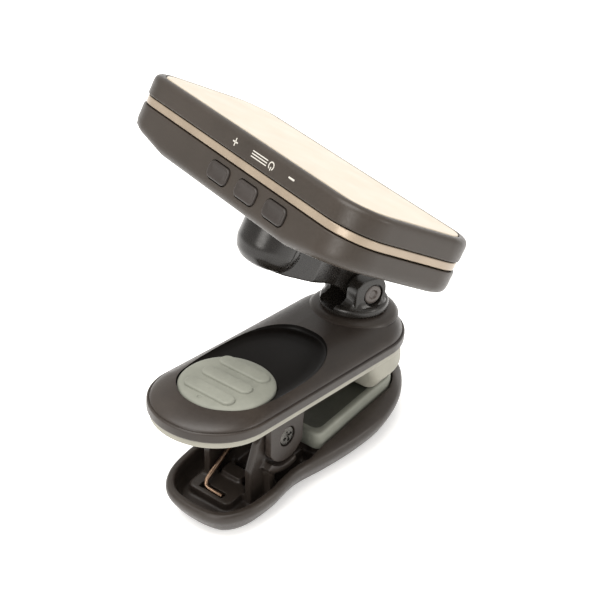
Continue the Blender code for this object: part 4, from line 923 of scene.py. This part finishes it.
shell_top = FACE_Z - BEZEL_T - BAND_T - GAP / 2
BUTTON_W, BUTTON_H, BUTTON_OUT, BUTTON_DEPTH = 5.2, 2.8, 0.35, 7.4
KEYS = (("plus", 1.4), ("menu", -6.1), ("minus", -13.6))
DOOR_Y0, DOOR_HALF, DOOR_T, CELL_R, CELL_Y = 7.6, 10.9, 1.0, 10.0, 15.0
DOOR_END = 33.0  # past the end of the head, whose outline cuts the door to length
slope = (HEAD_T - END_T) / (HEAD_L / 2 - SLOPE_Y)
button_z = FACE_Z - BUTTON_DEPTH


def back_at(y):
    return back_z + max(0.0, abs(y) - SLOPE_Y) * slope


def length_wise(profile, x0, x1):
    """A block whose outline is drawn in Y and Z, from x0 to x1."""
    p = np.asarray(profile, float)
    if sum(p[i - 1][0] * p[i][1] - p[i][0] * p[i - 1][1] for i in range(len(p))) < 0:
        p = p[::-1]
    v, f = prism(p, x0, x1)
    return np.column_stack([v[:, 2], v[:, 0], v[:, 1]]), f


def into_wall(loop, depth0, depth1):
    """An opening in the wall that carries the keys: its outline is drawn upright and along Y."""
    v, f = prism(loop, depth0, depth1)
    return np.column_stack([wall_x + v[:, 2], v[:, 1], button_z - v[:, 0]]), f


def door_profile(back_off, low_by, high_by):
    """The door's section along the head, from under the hub to past the end."""
    line = [(DOOR_Y0 - back_off, back_z), (SLOPE_Y, back_z), (DOOR_END, back_at(DOOR_END))]
    return [(y, z - low_by) for y, z in line] + [(y, z + DOOR_T + high_by) for y, z in line[::-1]]


body = walls(eased(head_rings((
    (1.7, back_z), (0.7, back_z + 0.22), (0.15, back_z + 0.75), (0, back_z + 1.5), (0, shell_top - 0.12),
    (0.12, shell_top), (SHELL_WALL, shell_top), (SHELL_WALL, inner_floor + 0.5),
    (SHELL_WALL + 0.5, inner_floor))), 0.5, 5))


def sloped(shape):
    """Lifts the back towards each end, from a crease across it at SLOPE_Y."""
    sheet = mesh_of(shape, Matrix.Identity(4), "sheet")
    work = bmesh.new()
    work.from_mesh(sheet)
    for y in (-SLOPE_Y, SLOPE_Y):
        parts = work.verts[:] + work.edges[:] + work.faces[:]
        bmesh.ops.bisect_plane(work, geom=parts, dist=1e-5, plane_co=(0, y, 0), plane_no=(0, 1, 0))
    for vertex in work.verts:
        x, y, z = vertex.co
        share = 1 - min(1.0, max(0.0, (z - back_z - 1.6) / (shell_top - 0.3 - back_z - 1.6)))
        vertex.co.z += (back_at(y) - back_z) * share
    work.verts.index_update()
    faces = [tuple(v.index for v in face.verts) for face in work.faces]
    points = np.array([v.co for v in work.verts])
    work.free()
    bpy.data.meshes.remove(sheet)
    return points, faces


holes = [into_wall(rounded(BUTTON_H + 2 * GAP, BUTTON_W + 2 * GAP, 1.0 + GAP, 0, y), -1, 3)
         for _, y in KEYS]
button_room = box(wall_x + SHELL_WALL, wall_x + 4.2, KEYS[-1][1] - 3.9, KEYS[0][1] + 3.9,
                  back_z + 1.25, shell_top + 1)
doorway = length_wise(door_profile(GAP, 2, GAP), HEAD_X - DOOR_HALF - GAP, HEAD_X + DOOR_HALF + GAP)
rear_shell = moulded(
    "rear_shell_moulding", sloped(body), head_place,
    [prism(circle(3.0, 48, HUB_X), inner_floor - 0.4, inner_floor + 2.2)],
    [button_room, *holes, doorway,
     prism(circle(CELL_R + 0.3, 96, HEAD_X, CELL_Y), back_z - 2, inner_floor + 1),
     prism(circle(1.1, 40, HUB_X), back_z - 1, inner_floor + 3)]
    + [prism(circle(r, 40, x, y), back_z - 1, top) for x, y in bosses
       for r, top in ((1.1, inner_floor + 1), (1.9, back_at(y) + 0.75))])
dress(rear_shell, "head", "head_plastic", head_plastic, "rear_shell")

# ---- Battery door ----
# A sliding cover of the shell's plastic. Three shallow grooves give the thumb a hold.

door = moulded("battery_door_slide", length_wise(
    door_profile(0, 0, 0), HEAD_X - DOOR_HALF, HEAD_X + DOOR_HALF), head_place)
combine(door, prism(head_loop(0.1), back_z - 3, back_z + 6), head_place, "INTERSECT")
for y in (10.2, 12.2, 14.2):
    groove = box(HEAD_X - 4.5, HEAD_X + 4.5, y, y + 0.9, back_z - 1, back_z + 0.35)
    combine(door, groove, head_place, "DIFFERENCE")
dress(door, "cell_door", "head_plastic", head_plastic, "battery_door", angle=30)

# ---- Case screws ----
# Two small cross-head screws, sunk in the back, that clamp both shells over the band.

sunk = back_at(BOSS_Y) + 0.15
facing_back = (head_place @ Matrix.Translation((HEAD_X - BOSS_ASIDE, BOSS_Y, sunk))
               @ Matrix.Rotation(math.pi, 4, "Y") @ Matrix.Translation((-2 * BOSS_ASIDE, 0, 0)))
case_screws = grown("case_screws", screws, facing_back,
                    **{"Count": 2, "Pitch": 2 * BOSS_ASIDE, "Head radius": 1.6, "Head height": 0.45,
                       "Slot width": 0.48, "Shank radius": 0.85, "Shank length": 6.0, "Finish": dark_steel})
dress(case_screws, "head", "steel", None, "case_screw_1", "case_screw_2")

# ---- Keys and the switches that they press ----
# Three soft-edged keys of fine-textured plastic. A flange inside the wall keeps each in its
# hole, and a tactile switch on the board pushes it back out.

button_plastic = finish_of("button_plastic", (0.020, 0.016, 0.0135), (0.029, 0.023, 0.020), 0.44, grain=0.12,
                           relief=0.010, wear_and_sheen=0.5, edge=0.1, level=0.34)
flange_x = SHELL_WALL + GAP
for key, y in KEYS:
    loops = []
    for grow, x in ((-2.2, -BUTTON_OUT + 0.10), (-1.2, -BUTTON_OUT + 0.03), (-0.5, -BUTTON_OUT),
                    (-0.12, -BUTTON_OUT + 0.12), (0, -0.05), (0, flange_x), (0.8, flange_x),
                    (0.8, flange_x + 0.6)):
        flat = rounded(BUTTON_H + grow, BUTTON_W + grow, max(1.0 + grow / 2, 0.2), 0, y)
        loops.append(np.column_stack([np.full(len(flat), wall_x + x), flat[:, 1], button_z - flat[:, 0]]))
    cap = moulded(f"key_{key}", walls(eased(loops, 0.14, 3)), head_place)
    dress(cap, f"{key}_key", "button_plastic", button_plastic, f"button_{key}")

# ---- Inside the head ----
# A green circuit board with a chip, a brass vibration disc, a coin cell and its contact, and
# a switch behind each key. They show only through the gaps and with the door open.

black_chip = finish_of("black_moulded_chip", (0.010, 0.010, 0.011), (0.018, 0.018, 0.019), 0.5, grain=0.15,
                       relief=0.01, edge=0.06)
green_board = finish_of("green_solder_mask", (0.012, 0.085, 0.035), (0.022, 0.13, 0.055), 0.4, grain=0.3,
                        relief=0.006, patch=3.0, edge=0.05)
brass = finish_of("bright_brass", (0.50, 0.34, 0.13), (0.64, 0.46, 0.20), 0.28, metal=1.0, grain=0.12,
                  relief=0.004, edge=0.05)
cell_steel = finish_of("satin_cell_steel", (0.52, 0.51, 0.48), (0.64, 0.63, 0.60), 0.27, metal=1.0,
                       grain=0.12, relief=0.004, edge=0.08, stretch=(1, 0.15, 1))
refinish(green_board, "circuit_board")
refinish(black_chip, "tuner_chip", "switch_plus", "switch_menu", "switch_minus")
refinish(brass, "piezo_sensor", "contact_plus")
refinish(cell_steel, "coin_cell")

# ---- Floor, light and camera ----
# A white table, faintly lit from below, under a white tent. A large soft light hangs above, with
# smaller ones on the left and low on the right.

bpy.context.scene.view_settings.view_transform = "Standard"
table_mesh = bpy.data.meshes.new("table_top")
REACH, TABLE_Z = 2.0, -0.00002
table_mesh.from_pydata([(x * REACH, y * REACH, TABLE_Z) for x, y in ((-1, -1), (1, -1), (1, 1), (-1, 1))],
                       [], [(0, 1, 2, 3)])
table_top = linked("table_top", table_mesh)
table_white = bpy.data.materials.new("table_white")
table_white.use_nodes = True
for socket, value in (("Base Color", (0.93, 0.93, 0.93, 1)), ("Roughness", 0.9),
                      ("Emission Strength", 0.3), ("Emission Color", (1, 1, 1, 1))):
    table_white.node_tree.nodes["Principled BSDF"].inputs[socket].default_value = value
table_mesh.materials.append(table_white)

tent = bpy.data.worlds.new("tent")
bpy.context.scene.world = tent
tent.use_nodes = True
tent.node_tree.nodes["Background"].inputs[0].default_value = (1.0, 0.985, 0.96, 1)
tent.node_tree.nodes["Background"].inputs[1].default_value = 0.85


def lamp(name, position, size, power, colour):
    light = bpy.data.lights.new(name, "AREA")
    light.shape, light.size, light.energy, light.color = "DISK", size, power, colour
    made = linked(name, light)
    made.location = position
    towards = Vector((0.008, 0.0, 0.03)) - Vector(position)
    made.rotation_euler = towards.to_track_quat("-Z", "Y").to_euler()


lamp("sky_light", (-0.05, 0.05, 0.62), 0.60, 5.0, (1.0, 0.98, 0.95))
lamp("left_light", (-0.50, -0.05, 0.30), 0.30, 1.4, (1.0, 0.97, 0.93))
lamp("right_light", (0.22, -0.50, 0.22), 0.20, 0.7, (1.0, 0.97, 0.93))

lens = bpy.data.cameras.new("camera")
lens.lens, lens.sensor_width, lens.clip_start = 98.346, 36.0, 0.005
camera = linked("camera", lens)
camera.matrix_world = Matrix(((0.63575, 0.48384, -0.60143, -0.14419),
                              (-0.77073, 0.35507, -0.52906, -0.13734),
                              (-0.04243, 0.79989, 0.59865, 0.18334), (0, 0, 0, 1)))
bpy.context.scene.camera = camera
